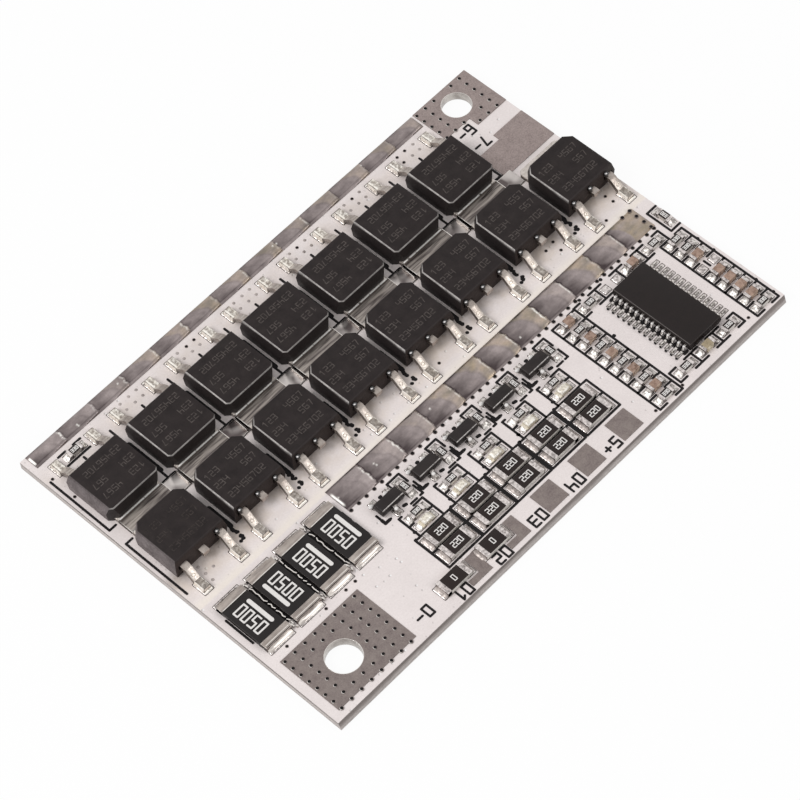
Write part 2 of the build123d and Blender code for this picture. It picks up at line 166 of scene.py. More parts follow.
# Camera: the photograph's viewpoint, looking down along the board from its near left corner
view = {
    "place": (-0.122316, -0.139892, 0.281057),
    "right": (0.685873, -0.724864, -0.064423),
    "up": (0.632909, 0.550476, 0.544428),
    "look": (0.359173, 0.414183, -0.836330),
    "lens": 163.63,
}
cameraData = bpy.data.cameras.new("camera")
cameraData.lens = view["lens"]
cameraData.sensor_width = 36.0
cameraData.clip_start = 0.01
camera = link("camera", cameraData)
turn = Matrix((view["right"], view["up"], [-part for part in view["look"]])).transposed()
camera.matrix_world = Matrix.Translation(view["place"]) @ turn.to_4x4()
bpy.context.scene.camera = camera
bpy.context.scene.view_settings.view_transform = "Standard"


# Node helpers: a node with its inputs set or linked, and a group with named sockets

def colour(hexCode):
    # a written screen colour as the linear values that Blender works in
    parts = [int(hexCode[i:i + 2], 16) / 255 for i in (0, 2, 4)]
    return tuple(part / 12.92 if part < 0.04045 else ((part + 0.055) / 1.055) ** 2.4 for part in parts) + (1.0,)


def addNode(tree, kind, inputs=None, **settings):
    # written colours may stand for values
    node = tree.nodes.new("ShaderNode" + kind)
    for key, value in settings.items():
        setattr(node, key, value)
    for socket, value in (inputs or {}).items():
        if isinstance(value, bpy.types.NodeSocket):
            tree.links.new(value, node.inputs[socket])
        else:
            node.inputs[socket].default_value = colour(value) if isinstance(value, str) else value
    return node


def mixColours(tree, factor, first, second, blend="MIX"):
    return addNode(tree, "Mix", {0: factor, 6: first, 7: second}, data_type="RGBA", blend_type=blend).outputs[2]


def remap(tree, value, low, high, toLow=0.0, toHigh=1.0):
    return addNode(tree, "MapRange", {
        "Value": value, "From Min": low, "From Max": high, "To Min": toLow, "To Max": toHigh,
    }).outputs["Result"]


def calculate(tree, operation, *values, clamped=False):
    return addNode(tree, "Math", dict(enumerate(values)), operation=operation, use_clamp=clamped).outputs[0]


def multiply(tree, first, second):
    return calculate(tree, "MULTIPLY", first, second)


def band(tree, value, rise, full, fall, gone):
    # a share that rises to full, stays, and falls away
    return multiply(tree, remap(tree, value, rise, full), remap(tree, value, fall, gone, 1.0, 0.0))


def objectPlace(tree, scale=None):
    place = addNode(tree, "TexCoord").outputs["Object"]
    return addNode(tree, "Mapping", {"Vector": place, "Scale": scale}).outputs[0] if scale else place


def cloudy(tree, place, scale, detail, **more):
    return addNode(tree, "TexNoise", {"Vector": place, "Scale": scale, "Detail": detail, **more}).outputs["Fac"]


def readLayer(tree, name):
    return addNode(tree, "Attribute", attribute_name=name).outputs["Fac"]


def bumpOf(tree, height, strength, distance, **more):
    inputs = {"Height": height, "Strength": strength, "Distance": distance, **more}
    return addNode(tree, "Bump", inputs).outputs["Normal"]


def startGroup(name, inputs, outputs):
    group = bpy.data.node_groups.new(name, "ShaderNodeTree")
    for label, value in inputs:
        group.interface.new_socket(label, in_out="INPUT", socket_type="NodeSocketFloat").default_value = value
    for label in outputs:
        group.interface.new_socket(label, in_out="OUTPUT", socket_type="NodeSocketFloat")
    return group, group.nodes.new("NodeGroupInput"), group.nodes.new("NodeGroupOutput")


def buildGrainGroup():
    # fine and coarse unevenness of a surface, in object space
    group, source, sink = startGroup("grain", [("Size", 0.3), ("Contrast", 0.5)], ["Mask", "Height"])
    scale = calculate(group, "DIVIDE", 1000.0, source.outputs["Size"])
    fine = cloudy(group, objectPlace(group), scale, 5.0, Roughness=0.6)
    half = multiply(group, source.outputs["Contrast"], 0.5)
    low, high = calculate(group, "SUBTRACT", 0.5, half), calculate(group, "ADD", 0.5, half)
    group.links.new(remap(group, fine, low, high), sink.inputs["Mask"])
    group.links.new(fine, sink.inputs["Height"])
    return group


def buildFacingGroup():
    # masks for the top, the lips between top and side, and the sides of a piece: the lip mask places painted
    # highlight, the west and south masks place painted light and shade on faces turned that way
    group, source, sink = startGroup(
        "facing", [("Lip low", 0.3), ("Lip high", 0.93)], ["Top", "Lip", "West", "South"]
    )
    normal = addNode(group, "NewGeometry").outputs["Normal"]
    axes = addNode(group, "SeparateXYZ", {0: normal}).outputs
    up = calculate(group, "ABSOLUTE", axes["Z"])
    low, high, soft = source.outputs["Lip low"], source.outputs["Lip high"], 0.12
    start = remap(group, up, low, calculate(group, "ADD", low, soft))
    top = remap(group, up, high, calculate(group, "ADD", high, soft * 0.4))
    masks = {
        "Top": top,
        "Lip": multiply(group, start, calculate(group, "SUBTRACT", 1.0, top)),
        "West": remap(group, axes["X"], -0.2, -0.45),
        "South": remap(group, axes["Y"], -0.2, -0.45),
    }
    for label, mask in masks.items():
        group.links.new(mask, sink.inputs[label])
    return group


groups = {"grain": buildGrainGroup(), "facing": buildFacingGroup()}


def useGroup(tree, name, **inputs):
    node = tree.nodes.new("ShaderNodeGroup")
    node.node_tree = groups[name]
    for label, value in inputs.items():
        node.inputs[label].default_value = value
    return node.outputs


def grainMask(tree, size, contrast):
    return useGroup(tree, "grain", Size=size, Contrast=contrast)["Mask"]


def startMaterial(name, roughness, metallic=0.0, specular=0.5):
    started = bpy.data.materials.new(name)
    started.use_nodes = True
    shader = started.node_tree.nodes["Principled BSDF"]
    shader.inputs["Roughness"].default_value = roughness
    shader.inputs["Metallic"].default_value = metallic
    shader.inputs["Specular IOR Level"].default_value = specular
    return started, started.node_tree, shader


def connect(tree, shader, **sockets):
    for label, value in sockets.items():
        tree.links.new(value, shader.inputs[label.replace("_", " ")])


def finishMaterial(name, look):
    # top, lip and side colours, broken up by grain, with roughness and bump from the same grain: the lip colour is
    # painted highlight, and top and side colours differ partly by painted light and shade
    top, lipHighlight, side, dark = look["tones"].split()
    low, high = look["rough"]
    built, tree, shader = startMaterial(name, low, look.get("metallic", 0.0), look.get("specular", 0.5))
    facing = useGroup(tree, "facing")
    grain = useGroup(tree, "grain", Size=look["grain"], Contrast=look.get("contrast", 0.5))
    for way in ("West", "South"):
        if way in look:
            # painted light and shade: sides and lips that face this way get colours set for how the light falls on
            # them
            side = mixColours(tree, facing[way], side, look[way][0])
            lipHighlight = mixColours(tree, facing[way], lipHighlight, look[way][1])
    base = mixColours(tree, facing["Top"], side, top)
    base = mixColours(tree, facing["Lip"], base, lipHighlight)
    base = mixColours(tree, grain["Mask"], mixColours(tree, look["uneven"], base, dark), base)
    if "root" in look:
        # towards its root a lead is darker
        height = addNode(tree, "SeparateXYZ", {0: objectPlace(tree)}).outputs["Z"]
        start, end, tone, most = look["root"]
        base = mixColours(tree, remap(tree, height, start * mm, end * mm, 0.0, most), base, tone)
    if "tint" in look:
        tone, most = look["tint"]
        base = mixColours(tree, multiply(tree, grainMask(tree, look["grain"] * 7, 0.35), most), base, tone)
    connect(
        tree, shader, Base_Color=base, Roughness=remap(tree, grain["Mask"], 0.0, 1.0, high, low),
        Normal=bumpOf(tree, grain["Height"], look["bump"], look["grain"] * mm * 0.3),
    )
    if "coat" in look:
        shader.inputs["Coat Weight"].default_value = look["coat"]
        shader.inputs["Coat Roughness"].default_value = 0.12
    return built


def finish(tones, uneven, grain, rough, bump, **more):
    # tones of the top, the lip (painted highlight), the sides and the dark grain, then how uneven, how fine, how
    # rough, how bumpy; top and side tones carry painted light and shade as well
    return dict(tones=tones, uneven=uneven, grain=grain, rough=rough, bump=bump, **more)


def metal(tones, uneven, grain, rough, bump, contrast, metallic=1.0, **more):
    return finish(tones, uneven, grain, rough, bump, contrast=contrast, metallic=metallic, **more)


finishes = {
    "padPale": metal("9f918d cfc8c3 6e6663 6a5f5d", 0.75, 0.14, (0.38, 0.6), 0.3, 0.45, 0.8, tint=("a99b97", 0.45)),
    "padTin": metal("867a77 c9c2be 6e6663 5f5554", 0.75, 0.14, (0.38, 0.6), 0.3, 0.45, 0.8, tint=("978d87", 0.5)),
    "jointSolder": metal(
        "ddd6d1 e9e3de 443d3a 4c4440", 0.9, 0.26, (0.34, 0.5), 0.35, 0.18, 0.75, tint=("f1ece6", 0.4)
    ),
    "largeSolder": metal(
        "a89e99 b4aaa5 57504c 6b625e", 0.85, 0.3, (0.4, 0.55), 0.35, 0.22, 0.6, tint=("cfc6c0", 0.35)
    ),
    "brightTinAndHighlight": metal("dcd6d1 f1ede9 8a837e a8a09b", 0.5, 0.22, (0.2, 0.4), 0.3, 0.35, tint=("f3eee8", 0.5)),
    "leadTin": metal("a3988f b9b0a8 544d49 7f7670", 0.6, 0.3, (0.28, 0.42), 0.15, 0.3, tint=("cfc3ae", 0.3)),
    # gate legs: lips painted bright as highlight, sides painted near black as shade
    "legDark": metal("8a817c cbc4be 2a2422 2a2422", 0.9, 0.22, (0.24, 0.4), 0.15, 0.16, tint=("f1ebe6", 0.35)),
    "pinTin": metal("e6dfdb fbf8f5 7a716d 7b726e", 0.65, 0.2, (0.2, 0.36), 0.15, 0.25, tint=("e9e3dc", 0.5)),
    "tabTin": metal(
        "c9c0ba d9d1c9 4d4744 857b75", 0.7, 0.24, (0.26, 0.4), 0.2, 0.3, tint=("e4dcd4", 0.4),
        West=("332c2a", "8d837d"), South=("fbf2ea", "c6bdb4"), root=(1.75, 2.15, "7d726b", 0.75),
    ),
    "chipTin": metal("dbd2cf f6f1ee 8b817e 514845", 0.85, 0.27, (0.24, 0.42), 0.3, 0.2, tint=("f3edea", 0.4)),
    "controllerBlack": finish(
        "1d1716 322d2c 1c1716 140f0e", 0.4, 0.1, (0.34, 0.5), 0.12, tint=("241c1b", 0.4), specular=0.2,
        West=("1c1716", "6a6462"), South=("1a1515", "332d2c"),
    ),
    "gateBlack": finish(
        "1e1817 2c2626 171212 110d0d", 0.7, 0.2, (0.3, 0.5), 0.4, contrast=0.3, tint=("332b2a", 0.5),
        specular=0.25, West=("171212", "2c2626"), South=("120e0e", "f5efeb"),
    ),
    "elementBlack": finish(
        "181313 3b3533 141010 100d0d", 0.5, 0.14, (0.25, 0.45), 0.15, tint=("221d1c", 0.5), specular=0.25
    ),
    "ceramicBlack": finish(
        "1f1311 5f5853 d8d0c8 140c0b", 0.3, 0.12, (0.25, 0.45), 0.1, tint=("241d1a", 0.4), specular=0.25,
        South=("fbf6ef", "a39b95"),
    ),
    "capacitorTan": finish(
        "998072 d9c3b3 7d5a49 573d30", 0.85, 0.3, (0.3, 0.5), 0.2, contrast=0.18, tint=("b89a88", 0.6),
        West=("6b4c3d", "b89a86"), South=("c9b39f", "ddc9b4"),
    ),
    "capacitorCream": finish(
        "a4947a e8ddc6 8b7c5f 716349", 0.75, 0.24, (0.3, 0.5), 0.2, contrast=0.25, tint=("b9ab90", 0.5),
        South=("e0d5bd", "eee5cf"),
    ),
    "lampWhite": finish(
        "f3ede1 fbf8f1 d5ccbc 9d8e75", 0.65, 0.18, (0.35, 0.55), 0.25, contrast=0.3, tint=("cdb98d", 0.35)
    ),
    "lampResin": finish(
        "f3ead8 fdf8ee dccfb6 84735a", 0.85, 0.24, (0.12, 0.3), 0.4, contrast=0.25, tint=("fbf8f2", 0.5), coat=0.5
    ),
    "silkAndShadeBlack": finish("0f0c0d 1a1617 0f0c0d 1e1a1b", 0.5, 0.1, (0.5, 0.7), 0.15, specular=0.2),
    "printAndHighlightWhite": finish("e9e6e3 f2efed c9c5c2 b5b0ad", 0.5, 0.08, (0.5, 0.7), 0.15),
    "glintWhite": finish("fdfbf7 ffffff e5e0db d5cfca", 0.5, 0.2, (0.3, 0.45), 0.15),
    "markFaint": finish("57504d 57504d 423c3a 332e2c", 0.95, 0.3, (0.55, 0.75), 0.2, contrast=0.3, specular=0.2),
    "markWorn": finish("3f3835 3f3835 2a2422 1c1716", 0.95, 0.3, (0.55, 0.75), 0.2, contrast=0.3, specular=0.2),
    "maskFill": finish(
        "a0958f a99e9a 857b77 6f6662", 0.8, 0.3, (0.35, 0.5), 0.1, contrast=0.2, tint=("ddd3d0", 0.4)
    ),
    "viaBoreShade": finish("0d0a0b 161213 0f0c0d 080607", 0.5, 0.1, (0.5, 0.7), 0.1, specular=0.15),
    "landGapAndShade": finish("5a504b 6b615c 5a504b 3a322f", 0.7, 0.2, (0.5, 0.7), 0.1, specular=0.3),
    "beadBlack": finish("171313 191515 100d0d 0c0a0a", 0.4, 0.1, (0.08, 0.14), 0.02, specular=0.9),
}
# moulded bodies: the two rows have painted highlights along different edges, and the row ends have their west sides
# painted lighter grey as lit faces
for name, westPaintedLight, southPaintedLight in (
    ("farMould", ("292424", "cfc9c6"), ("2a2524", "a9a4a1")),
    ("nearMould", ("292424", "cfc9c6"), ("352b28", "2b2423")),
    ("farEndMould", ("837979", "6f6666"), ("2a2524", "a9a4a1")),
    ("nearEndMould", ("837979", "6f6666"), ("3d322f", "2b2423")),
):
    finishes[name] = finish(
        "1c1515 2a2424 2a2424 130e0e", 0.5, 0.16, (0.42, 0.6), 0.3, tint=("2f2827", 0.55), specular=0.2,
        West=westPaintedLight, South=southPaintedLight,
    )

boardLook = {
    "mask": "ebe2e0", "shade": "d6cdcb", "grit": "c9bfbd", "laminate": "b5adaa", "fibre": "8d8683", "score": "6a605c",
    # small raised dots painted in colour: a painted shadow shifted beside each, and a white painted highlight on it:
    # shift in metres, spread, tone, strength
    "dots": [((0.00007, -0.00004, 0.0), 0.1, "7d7370", 0.6), ((0.0, 0.0, 0.0), 0.06, "ffffff", 0.8)],
    # tone, least and most share, and where along Y it rises and falls: flux round the lead feet of
    # both rows, a browner band against the near row's bodies that is painted shade, and a paler yellow beside the
    # middle rail
    "bands": [
        ("b9a079", 0.0, 0.34, (-2.2, -0.4, 0.6, 1.6)), ("b9a079", 0.0, 0.16, (14.8, 16.2, 17.6, 18.6)),
        ("6f635a", 0.12, 0.6, (-0.3, 0.8, 1.0, 2.0)), ("f3e9d6", 0.35, 0.35, (-3.2, -3.0, -2.7, -1.9)),
    ],
    # through the thickness: height as a share, and tone
    "layers": [
        (0.02, "e5dedb"), (0.14, "a8a09c"), (0.3, "c9c1bd"), (0.62, "c3bbb7"), (0.7, "6f6763"), (0.9, "5d5551"),
        (0.96, "ebe2e0"),
    ],
}


def buildBoardMaterial(look):
    built, tree, shader = startMaterial("boardMask", 0.45)
    place = objectPlace(tree)
    axes = addNode(tree, "SeparateXYZ", {0: place}).outputs
    ways = addNode(tree, "SeparateXYZ", {0: addNode(tree, "NewGeometry").outputs["Normal"]}).outputs
    flat = remap(tree, calculate(tree, "ABSOLUTE", ways["Z"]), 0.4, 0.6)
    # white mask: copper under it shows as soft shades, with fine specks
    shades = useGroup(tree, "grain", Size=3.0, Contrast=0.3)
    mask = mixColours(tree, multiply(tree, shades["Mask"], 0.35), look["mask"], look["shade"])
    mask = mixColours(tree, multiply(tree, grainMask(tree, 0.2, 0.4), 0.35), mask, look["grit"])
    # painted raised dots: a painted shadow and a painted highlight for each
    for shift, spread, tone, strength in look["dots"]:
        moved = addNode(tree, "Mapping", {"Vector": place, "Location": shift}).outputs[0]
        dots = addNode(tree, "TexVoronoi", {"Vector": moved, "Scale": 1250.0}).outputs
        dot = remap(tree, dots["Distance"], spread, spread + 0.1, strength, 0.0)
        chosen = addNode(tree, "SeparateColor", {0: dots["Color"]}).outputs[0]
        mask = mixColours(tree, multiply(tree, dot, remap(tree, chosen, 0.4, 0.8)), mask, tone)
    haze = grainMask(tree, 2.2, 0.3)
    # flux bands, and a band of painted shade against the near row's bodies
    for tone, least, most, reach in look["bands"]:
        strength = band(tree, axes["Y"], *(edge * mm for edge in reach))
        mask = mixColours(tree, multiply(tree, strength, remap(tree, haze, 0.0, 1.0, least, most)), mask, tone)
    # cut edges: fibre layers between the two white skins
    fibres = cloudy(tree, objectPlace(tree, (1.0, 1.0, 9.0)), 1800.0, 4.0)
    layers = addNode(tree, "ValToRGB", {0: remap(tree, axes["Z"], 0.0, 0.001)})
    stops = layers.color_ramp.elements
    for position, tone in look["layers"]:
        stops.new(position).color = colour(tone)
    stops.remove(stops[0])
    stops.remove(stops[-1])
    drift = cloudy(tree, place, 90.0, 2.0)
    edge = mixColours(tree, remap(tree, drift, 0.4, 0.62, 0.1, 0.7), layers.outputs[0], look["laminate"])
    edge = mixColours(tree, remap(tree, fibres, 0.45, 0.65, 0.0, 0.5), edge, look["fibre"])
    scored = multiply(tree, remap(tree, ways["Y"], -0.5, -0.8), remap(tree, axes["Z"], 0.00025, 0.00055, 0.0, 0.7))
    edge = mixColours(tree, multiply(tree, scored, remap(tree, drift, 0.35, 0.6, 0.6, 1.0)), edge, look["score"])
    relief = bumpOf(tree, shades["Mask"], 0.25, 0.00004)
    connect(
        tree, shader, Base_Color=mixColours(tree, flat, edge, mask), Roughness=remap(tree, flat, 0.0, 1.0, 0.8, 0.42),
        Normal=bumpOf(tree, fibres, 0.15, 0.00003, Normal=relief),
    )
    return built


def buildRailMaterial():
    # solder whose tone (painted shade over its swells and edges), browning by flux and glints (painted highlights)
    # are written into the mesh
    built, tree, shader = startMaterial("railSolder", 0.3, 1.0)
    drift = cloudy(tree, objectPlace(tree, (0.6, 1.2, 1.0)), 900.0, 5.0)
    level = calculate(tree, "ADD", readLayer(tree, "tone"), remap(tree, drift, 0.3, 0.7, -0.22, 0.22), clamped=True)
    body = mixColours(tree, level, "453c3d", "b4a8a6")
    brown = mixColours(tree, remap(tree, drift, 0.35, 0.65), "88806a", "bfa98b")
    body = mixColours(tree, multiply(tree, readLayer(tree, "browned"), 0.72), body, brown)
    body = mixColours(tree, multiply(tree, grainMask(tree, 0.22, 0.5), 0.3), body, "5c5554")
    body = mixColours(tree, readLayer(tree, "glint"), body, "fdfaf4")
    rough = remap(tree, drift, 0.3, 0.7, 0.28, 0.45)
    connect(tree, shader, Base_Color=body, Roughness=rough, Normal=bumpOf(tree, drift, 0.3, 0.0001))
    return built


def buildFootSolder():
    # solder on the lead feet, whose painted shine and shade are written into the mesh, yellowed in places by flux
    built, tree, shader = startMaterial("footSolder", 0.36, 0.6)
    shift = remap(tree, grainMask(tree, 0.3, 0.3), 0.0, 1.0, -0.24, 0.24)
    level = calculate(tree, "ADD", readLayer(tree, "shine"), shift, clamped=True)
    body = mixColours(tree, remap(tree, level, 0.0, 0.5), "4a413b", "a39b94")
    body = mixColours(tree, remap(tree, level, 0.5, 0.9), body, "fbf7f0")
    body = mixColours(tree, multiply(tree, grainMask(tree, 1.1, 0.3), 0.35), body, "e2d8c6", "MULTIPLY")
    connect(tree, shader, Base_Color=body)
    return built


def buildStreakedTin():
    # tin drawn out in streaks along the ends of the shunts; tops and sides toned apart and lips painted bright, as
    # painted light and highlight
    built, tree, shader = startMaterial("streakedTin", 0.3, 1.0)
    facing = useGroup(tree, "facing")
    streaks = cloudy(tree, objectPlace(tree, (0.25, 1.8, 1.0)), 1900.0, 3.0)
    body = mixColours(tree, facing["Top"], "8b817d", "a0968f")
    body = mixColours(tree, facing["Lip"], body, "e3dcd5")
    body = mixColours(tree, remap(tree, streaks, 0.56, 0.36, 0.0, 0.6), body, "6f6562")
    body = mixColours(tree, multiply(tree, grainMask(tree, 0.9, 0.3), 0.25), body, "d8cfc8")
    connect(tree, shader, Base_Color=body, Roughness=remap(tree, streaks, 0.3, 0.7, 0.24, 0.4))
    return built


def buildPoolTin():
    # solder drawn smooth between the tabs, pale and dark by turns as a painted reflection, with painted highlight on
    # its lips
    built, tree, shader = startMaterial("poolTin", 0.3, 1.0)
    reflectionSwirl = cloudy(tree, objectPlace(tree), 480.0, 1.0, Distortion=0.8)
    body = mixColours(tree, remap(tree, reflectionSwirl, 0.33, 0.66), "5f5756", "cdc6c2")
    connect(tree, shader, Base_Color=mixColours(tree, useGroup(tree, "facing")["Lip"], body, "d9d2cd"))
    return built


def buildStripTin():
    # tinned tab metal, brushed along the row, with painted highlight on its lips
    built, tree, shader = startMaterial("stripTin", 0.3, 0.55)
    lines = cloudy(tree, objectPlace(tree, (0.12, 1.6, 1.0)), 2600.0, 4.0)
    body = mixColours(tree, remap(tree, lines, 0.4, 0.6), "4b4340", "a59c94")
    body = mixColours(tree, multiply(tree, grainMask(tree, 2.0, 0.3), 0.35), body, "8f8683")
    body = mixColours(tree, useGroup(tree, "facing")["Lip"], body, "f4efe9")
    connect(tree, shader, Base_Color=body, Roughness=remap(tree, lines, 0.3, 0.7, 0.25, 0.4))
    return built


material = {name: finishMaterial(name, look) for name, look in finishes.items()}
material["board"] = buildBoardMaterial(boardLook)
material["rail"] = buildRailMaterial()
material["foot"] = buildFootSolder()
material["streaked"] = buildStreakedTin()
material["pool"] = buildPoolTin()
material["strip"] = buildStripTin()
print("materials made:", len(material))


# Carried-over solids: the bare pads get their finish
for pad, look in (
    ("battery_pad", "padTin"), ("cell_tap_pads", "padTin"), ("charger_pad", "padPale"), ("load_pad", "padPale"),
):
    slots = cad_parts[pad].data.materials
    slots.clear()
    slots.append(material[look])


def takeSolid(node, name, shape=None, place=()):
    # a copy of a solid's mesh, shaped where asked and joined again at its edges, left in edit mode
    piece = newPiece(name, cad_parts[node].data.copy())
    if shape:
        shape(piece.data, *place)
    bpy.ops.mesh.customdata_custom_splitnormals_clear()
    switchTo("EDIT")
    bpy.ops.mesh.select_all(action="SELECT")
    bpy.ops.mesh.remove_doubles(threshold=1e-6)
    return piece


# The board was scored and snapped along its -Y edge, so that its top edge stands back
snapped = {"back": 0.27, "reach": 0.1, "above": 0.9}
panel = takeSolid("circuit_board", "boardPanel")
switchTo("OBJECT")
for vertex in panel.data.vertices:
    if vertex.co.y < cadBox[0][1] + snapped["reach"] * mm and vertex.co.z > snapped["above"] * mm:
        vertex.co.y += snapped["back"] * mm
smooth(panel, 12)
settle(panel, ["board"], ["circuit_board"])


# Soldered parts: a solid's own shape with its edges broken, named like the solid
softened = {"flatter": 1.5, "sharper": 28}


def soften(node, width, look, slotName, shape=None, place=()):
    first, *others = node.split("_")
    piece = takeSolid(node, first + "".join(word.title() for word in others), shape, place)
    bpy.ops.mesh.dissolve_limited(angle_limit=math.radians(softened["flatter"]))
    switchTo("OBJECT")
    applyModifier(
        piece, "BEVEL", width=width * mm, segments=2, limit_method="ANGLE",
        angle_limit=math.radians(softened["sharper"]), use_clamp_overlap=True,
    )
    smooth(piece)
    settle(piece, [look], [node])


softParts = [
    # node, edge break, finish, slot
    ("link_resistor_bodies", 0.03, "ceramicBlack", "resistor_body"),
    ("balance_resistor_bodies", 0.03, "ceramicBlack", "resistor_body"),
    ("small_resistor_bodies", 0.02, "ceramicBlack", "resistor_body"),
    ("capacitor_bodies", 0.04, "capacitorTan", "capacitor_body"),
    ("link_resistor_caps", 0.04, "chipTin", "end_cap"),
    ("balance_resistor_caps", 0.04, "chipTin", "end_cap"),
    ("small_resistor_caps", 0.03, "chipTin", "end_cap"),
    ("capacitor_caps", 0.05, "chipTin", "end_cap"),
    ("lamp_bases", 0.02, "lampWhite", "lamp_base"),
    ("lamp_lenses", 0.05, "lampResin", "lamp_lens"),
    ("gate_transistor_bodies", 0.06, "gateBlack", "moulding"),
    ("gate_transistor_legs", 0.03, "legDark", "lead_metal"),
    ("controller_body", 0.05, "controllerBlack", "moulding"),
    ("controller_pins", 0.02, "pinTin", "lead_metal"),
]
for k in range(1, 5):
    softParts.append((f"shunt_{k}_element", 0.05, "elementBlack", "resistor_body"))
    softParts.append((f"shunt_{k}_caps", 0.06, "streaked", "end_cap"))
for part in softParts:
    soften(*part)
# one capacitor is of a paler kind
pale = {"x": 20.85, "y": -18.7, "within": 1.0}
capacitorBodies = bpy.data.objects["capacitorBodies"]
capacitorBodies.data.materials.append(material["capacitorCream"])
for face in capacitorBodies.data.polygons:
    if math.hypot(face.center.x / mm - pale["x"], face.center.y / mm - pale["y"]) < pale["within"]:
        face.material_index = 1
print("chip parts softened")


def every(start, step, count):
    return [start + step * i for i in range(count)]


# Power transistors, rows as in the part: x and y of the body, and 1 where the leads point to -Y
pitch, leads = 7.5, (-2.286, 2.286)
columns = every(-25.8, pitch, 8)
mosfetPlaces = [(x, 3.8, 1) for x in columns] + [(x, 12.0, -1) for x in columns[:7]]
trim = {
    # half width and half length of a body, its corner cut, how much of the cut its top keeps in the
    # far row, the height where the lean of its sides starts, and the lean in degrees
    "halfWidth": 3.25, "halfLength": 3.05, "cut": 0.85, "kept": 0.5, "parting": 1.2, "lean": 12,
    # half widths of the lead roots before and after, and what the far row's stub loses
    "rootBefore": 0.56, "rootAfter": 0.41, "stub": 0.42,
}


def shapeBody(mesh, x, y, side):
    # the far row's corners are cut less at the top than at the foot
    for vertex in mesh.vertices:
        across, along = vertex.co.x / mm - x, (vertex.co.y / mm - y) * side
        if side > 0 or vertex.co.z / mm < boardTop + 1.5 or along < 1.5:
            continue
        lean = (vertex.co.z / mm - boardTop - trim["parting"]) * math.tan(math.radians(trim["lean"]))
        half, end = trim["halfWidth"] - lean, trim["halfLength"] - lean
        move = trim["cut"] * (1 - trim["kept"])
        if abs(across) > half - 0.2 and along < end - 0.4:
            vertex.co.y += side * move * mm
        elif abs(across) < half - 0.4 and along > end - 0.2:
            vertex.co.x += math.copysign(move, across) * mm


def shapeFrame(mesh, x, y, side):
    # lead roots as narrow as the leads, and in the far row a stub cut nearly flush
    for vertex in mesh.vertices:
        across, along = vertex.co.x / mm - x, (vertex.co.y / mm - y) * side
        offset = abs(across) - leads[1]
        if abs(abs(offset) - trim["rootBefore"]) < 0.03 and along < -2.0:
            offset = math.copysign(trim["rootAfter"], offset)
            vertex.co.x = (x + math.copysign(leads[1] + offset, across)) * mm
        if side < 0 and abs(across) < 0.5 and along < -trim["halfLength"] - 0.3:
            vertex.co.y += side * trim["stub"] * mm


for k, place in enumerate(mosfetPlaces, 1):
    look = ("near" if place[2] > 0 else "far") + ("EndMould" if k in (1, 9) else "Mould")
    soften(f"mosfet_{k:02d}_body", 0.025, look, "moulding", shapeBody, place)
    soften(f"mosfet_{k:02d}_frame", 0.06, "tabTin", "lead_metal", shapeFrame, place)
print("transistors softened")


# Printed lines: one rounded bar is modelled, and its copies are stretched to each line
hair = 0.0015
sunk = boardTop - 0.01


def makeSlab(length, width, thickness, rounding, segments):
    # a slab on the ground with its upright edges rounded, the rounding in metres
    bpy.ops.mesh.primitive_cube_add(size=1.0)
    slab = bpy.context.active_object
    for vertex in slab.data.vertices:
        x, y, z = vertex.co
        vertex.co = (
            math.copysign(length, x) * mm / 2, math.copysign(width, y) * mm / 2, (z + 0.5) * thickness * mm,
        )

    def isUpright(edge):
        low, high = (slab.data.vertices[i].co.z for i in edge.vertices)
        return abs(low - high) > thickness * mm / 2

    pick("EDGE", slab.data.edges, isUpright)
    bpy.ops.mesh.bevel(offset=rounding, segments=segments, affect="EDGES")
    switchTo("OBJECT")
    return slab


def joinBars(name, lines, width, base, thickness, corners=4):
    # lines are (x0, y0, x1, y1) in millimetres, drawn on the height called base; crossing bars
    # differ by a hair in height, so that no two faces lie in one plane
    places, stretches = [], []
    for i, (x0, y0, x1, y1) in enumerate(lines):
        angle = math.degrees(math.atan2(y1 - y0, x1 - x0))
        places.append(at((x0 + x1) / 2, (y0 + y1) / 2, base + hair * (i % 7), angle))
        stretches.append((math.hypot(x1 - x0, y1 - y0) - 1, 0.0))
    # the bar is one millimetre long between the centres of its round ends
    bar = makeSlab(1 + width, width, thickness, width * mm * 0.48, corners)
    return copyTo(bar, name, places, stretches)


def drawBars(name, lines, width, base, thickness, look):
    settle(joinBars(name, lines, width, base, thickness), [look])


def drawSilk(name, lines, width, thickness):
    drawBars(name, lines, width, sunk, thickness, "silkAndShadeBlack")


silk = {
    "width": 0.24, "lift": 0.022, "gapShadeWidth": 0.5, "blotWidth": 0.34,
    "balanceBoxes": [(-12.1, -7.7), (-7.55, -3.1), (-2.95, 1.5), (1.7, 6.15), (6.4, 10.85)],
    "lampBoxes": [(-11.45, -8.35), (-6.8, -3.7), (-2.25, 0.85), (2.35, 5.4), (7.05, 10.1)],
    "gateBoxes": [(-9.5, -7.95), (-4.4, -3.0), (0.35, 1.85), (5.2, 6.75), (10.2, 11.65)],
    "hooks": every(-12.55, 4.9, 5),
    # round the controller: rungs of the ladder to its left, then cells above and below it, each with
    # its uprights, its upper and lower edge, and the length of the ticks on them
    "rungs": [-6.6, -8.05, -9.25, -10.65, -11.95, -13.3, -14.6, -15.95, -17.2, -18.6, -19.95],
    "cells": [
        ((15.95, 18.85, 21.8, 24.8, 27.8), (-6.5, -8.0), 0.85), ((16.35, 19.35, 22.35, 25.35), (-17.95, -19.4), 0.9),
    ],
    "ticks": [
        (16.2, -11.35), (29.6, -9.95), (29.6, -11.95), (29.6, -17.15), (29.6, -19.25), (17.05, -6.25), (20.1, -6.2),
    ],
}


def across(y, *spans):
    return [(x0, y, x1, y) for x0, x1 in spans]


def down(x, *spans):
    return [(x, y0, x, y1) for y0, y1 in spans]


